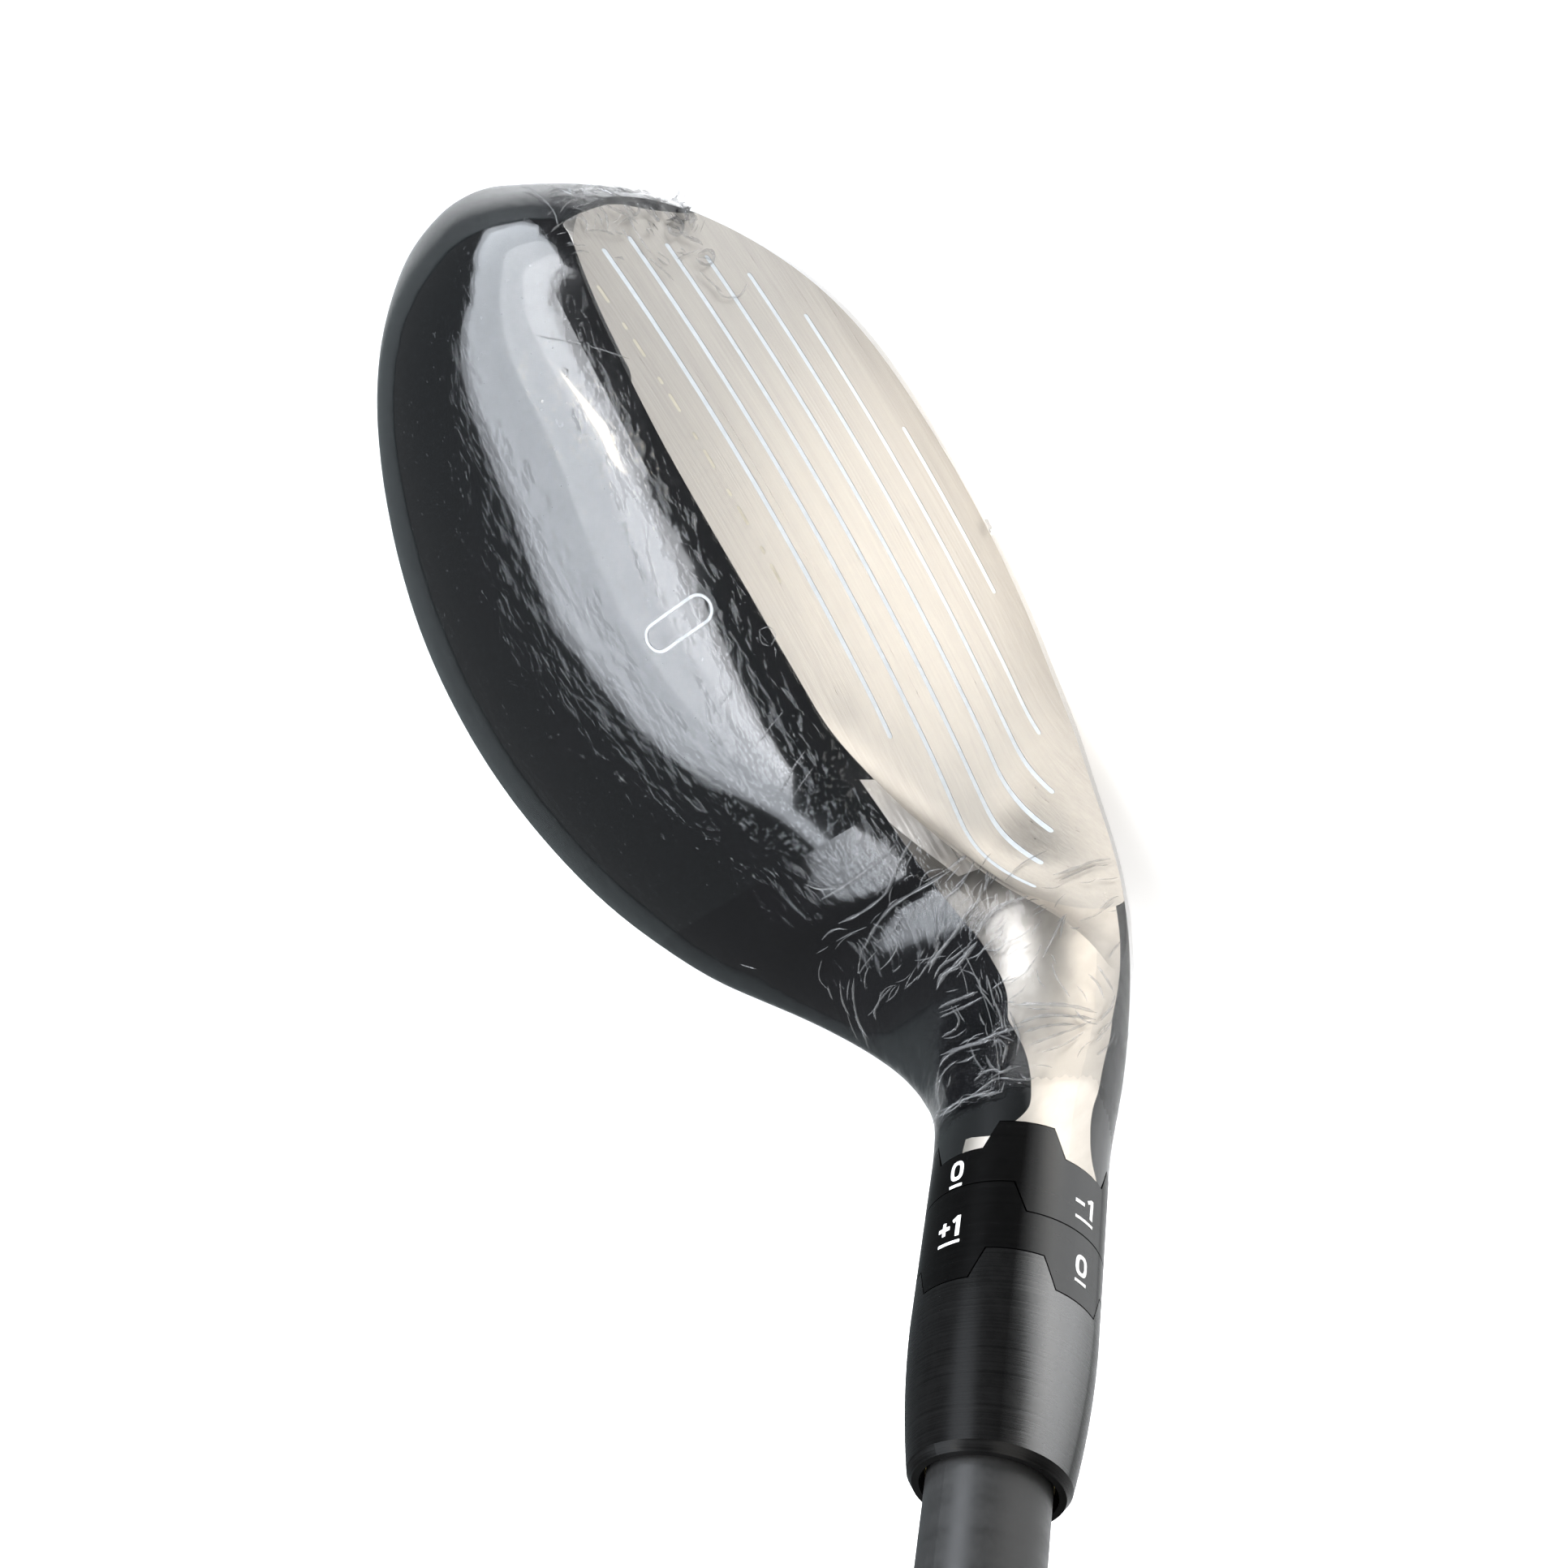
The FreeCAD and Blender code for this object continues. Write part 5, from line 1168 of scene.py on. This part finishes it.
rubber = grip_rubber()
grip_radii = np.interp(GRIP_STATIONS, *np.transpose(GRIP_PROFILE))
lathe("grip_moulded", list(zip(GRIP_STATIONS, grip_radii)), GRIP_BORE, segments=120,
      lowering=grip_pattern, replaced="grip")
lathe("grip_cap_moulded", CAP_PROFILE, CAP_BORE, segments=96,
      lowering=cap_flutes, replaced="grip_cap")


# -------------------------------------------------------------------- stage
# From here on, lengths are in metres.
def floor_material():
    sh = new_material("studio_floor", base=(0.9, 0.9, 0.895), rough=0.7)
    pale = sh.mix(sh.noise(sh.coords(), scale=60), (0.91, 0.91, 0.905), (0.89, 0.89, 0.885))
    # the floor behind the club is dim in reflections, so the black rim stays dark
    seen = sh.add("LightPath").outputs["Is Camera Ray"]
    place = sh.add("SeparateXYZ")
    source = sh.add("TexCoord").outputs["Object"]
    sh.put(source, place.inputs[0])
    back = sh.math("MAXIMUM", place.outputs["Y"], sh.minus(place.outputs["X"], 0.06))
    dim = sh.ramp(sh.plus(sh.times(back, 4.0), 0.5),
                  (0.5, (0.80, 0.80, 0.79)), (0.75, (0.06, 0.07, 0.07)))
    sh.set(Base_Color=sh.mix(seen, dim, pale))
    # glows towards white away from the club, for the camera only
    far = sh.ramp(sh.times(sh.vector("LENGTH", source), 0.4), (0.06, 0.5), (0.45, 1))
    sh.set(Emission_Strength=sh.times(sh.times(far, seen), 0.78),
           Emission_Color=(0.98, 0.985, 1.0))
    return sh.owner


def add_floor():
    material = floor_material()
    bpy.ops.mesh.primitive_plane_add(size=14, location=(0, 0, -0.0003))
    floor = bpy.context.object
    floor.name = "studio_floor"
    paint(floor, material)


def away(aim, distance, azimuth, elevation):
    """Point at a distance from aim in the given direction, in degrees."""
    a, e = math.radians(azimuth), math.radians(elevation)
    return Vector(aim) + distance * Vector(
        (math.cos(e) * math.cos(a), math.cos(e) * math.sin(a), math.sin(e)))


def add_light(light, place, aim):
    obj = bpy.data.objects.new(light.name, light)
    bpy.context.scene.collection.objects.link(obj)
    obj.location = place
    obj.rotation_mode = "QUATERNION"
    obj.rotation_quaternion = (Vector(aim) - obj.location).to_track_quat("-Z", "Y")


def area_light(name, azimuth, elevation, distance, size, power, color):
    light = bpy.data.lights.new(name, "AREA")
    light.shape = "RECTANGLE"
    light.size = light.size_y = size
    light.energy = power
    light.color = color
    aim = (0, 0.01, 0.02)
    add_light(light, away(aim, distance, azimuth, elevation), aim)


def spot_light(name, place, aim, power, cone, color):
    light = bpy.data.lights.new(name, "SPOT")
    light.energy = power
    light.spot_size = math.radians(cone)
    light.spot_blend = 1.0
    light.shadow_soft_size = 0.01
    light.color = color
    add_light(light, place, aim)


def card(name, directions, distance, strength, color):
    """A glowing card seen from the head in the given directions (azimuth, elevation):
    one long edge, then the other backwards."""
    verts = [tuple(away((0.01, 0.02, 0.02), distance, *d)) for d in directions]
    count = len(verts)
    faces = [(i, i + 1, count - 2 - i, count - 1 - i) for i in range(count // 2 - 1)]
    mesh = bpy.data.meshes.new(name)
    mesh.from_pydata(verts, [], faces)
    obj = bpy.data.objects.new(name, mesh)
    bpy.context.scene.collection.objects.link(obj)
    material = bpy.data.materials.new(name)
    material.use_nodes = True
    tree = material.node_tree
    tree.nodes.clear()
    emission = tree.nodes.new("ShaderNodeEmission")
    emission.inputs["Color"].default_value = (*color, 1)
    emission.inputs["Strength"].default_value = strength
    output = tree.nodes.new("ShaderNodeOutputMaterial")
    tree.links.new(emission.outputs[0], output.inputs[0])
    mesh.materials.append(material)
    obj.visible_camera = False


# Low and high edges of the soft-box as the crown sees it: azimuth, elevation
BOX_LOW = np.array([(-11, 7), (-4, 1), (9, 1), (18, 26), (28, 38), (58, 42), (80, 41), (96, 44),
                    (121, 47)])
BOX_HIGH = np.array([(-25, 38), (-20, 45), (-11, 55), (0, 63), (20, 70), (55, 76), (81, 74),
                     (100, 69), (121, 60)])
# Its bands, from the low edge (0) to the high edge (1): start, end, strength, colour
BOX_BANDS = [
    (0.0, 0.08, 4.6, (0.88, 0.93, 1.0)), (0.08, 0.45, 8.4, (0.88, 0.93, 1.0)),
    (0.45, 0.72, 11.0, (0.90, 0.94, 1.0)), (0.72, 0.92, 14.0, (0.92, 0.95, 1.0)),
    (0.92, 1.0, 9.0, (0.94, 0.96, 1.0))]


def add_lights():
    for i, (start, end, strength, color) in enumerate(BOX_BANDS):
        upper = BOX_LOW + (BOX_HIGH - BOX_LOW) * end
        lower = BOX_LOW + (BOX_HIGH - BOX_LOW) * start
        card("soft_box_%d" % i, [*upper, *lower[::-1]], 1.3, strength, color)
    card("warm_window", [(19, 66), (35, 69.5), (35, 66.5), (19, 62)],
         distance=1.25, strength=34.0, color=(1.0, 0.93, 0.80))
    area_light("front_fill", azimuth=-95, elevation=38, distance=2.0, size=1.2, power=24,
               color=(1.0, 0.96, 0.9))
    area_light("top_fill", azimuth=175, elevation=58, distance=2.2, size=1.0, power=14,
               color=(1.0, 0.98, 0.95))
    spot_light("face_glow", place=(0.0, -0.42, 0.30), aim=(-0.010, -0.058, 0.0),
               power=22.0, cone=10, color=(1.0, 0.9, 0.76))
    spot_light("stack_glow", place=(-0.05, -0.55, 0.30), aim=(-0.052, -0.150, 0.0),
               power=8.0, cone=11, color=(1.0, 0.93, 0.85))


def add_world():
    """Pale to the camera, dim to everything else."""
    world = bpy.data.worlds.new("studio")
    bpy.context.scene.world = world
    sh = Nodes(world, "Background")
    seen = sh.add("LightPath").outputs["Is Camera Ray"]
    sh.set(Color=(0.97, 0.985, 1.0), Strength=sh.mix(seen, 0.16, 0.93, "FLOAT"))


def add_camera():
    camera = bpy.data.cameras.new("camera")
    camera.sensor_width = 36.0
    camera.lens = VIEW_DISTANCE / VIEW_WIDTH * 36.0
    camera.clip_start = 0.01
    obj = bpy.data.objects.new("camera", camera)
    bpy.context.scene.collection.objects.link(obj)
    # a camera's own axes point right, up and backwards
    own_axes = CAM_AXES * [[1], [-1], [-1]]
    pose = Matrix(own_axes.tolist()).transposed().to_4x4()
    pose.translation = camera_place
    obj.matrix_world = pose
    bpy.context.scene.camera = obj


add_floor()
add_lights()
add_world()
bpy.context.scene.view_settings.view_transform = "Standard"
bpy.context.scene.view_settings.look = "None"
add_camera()
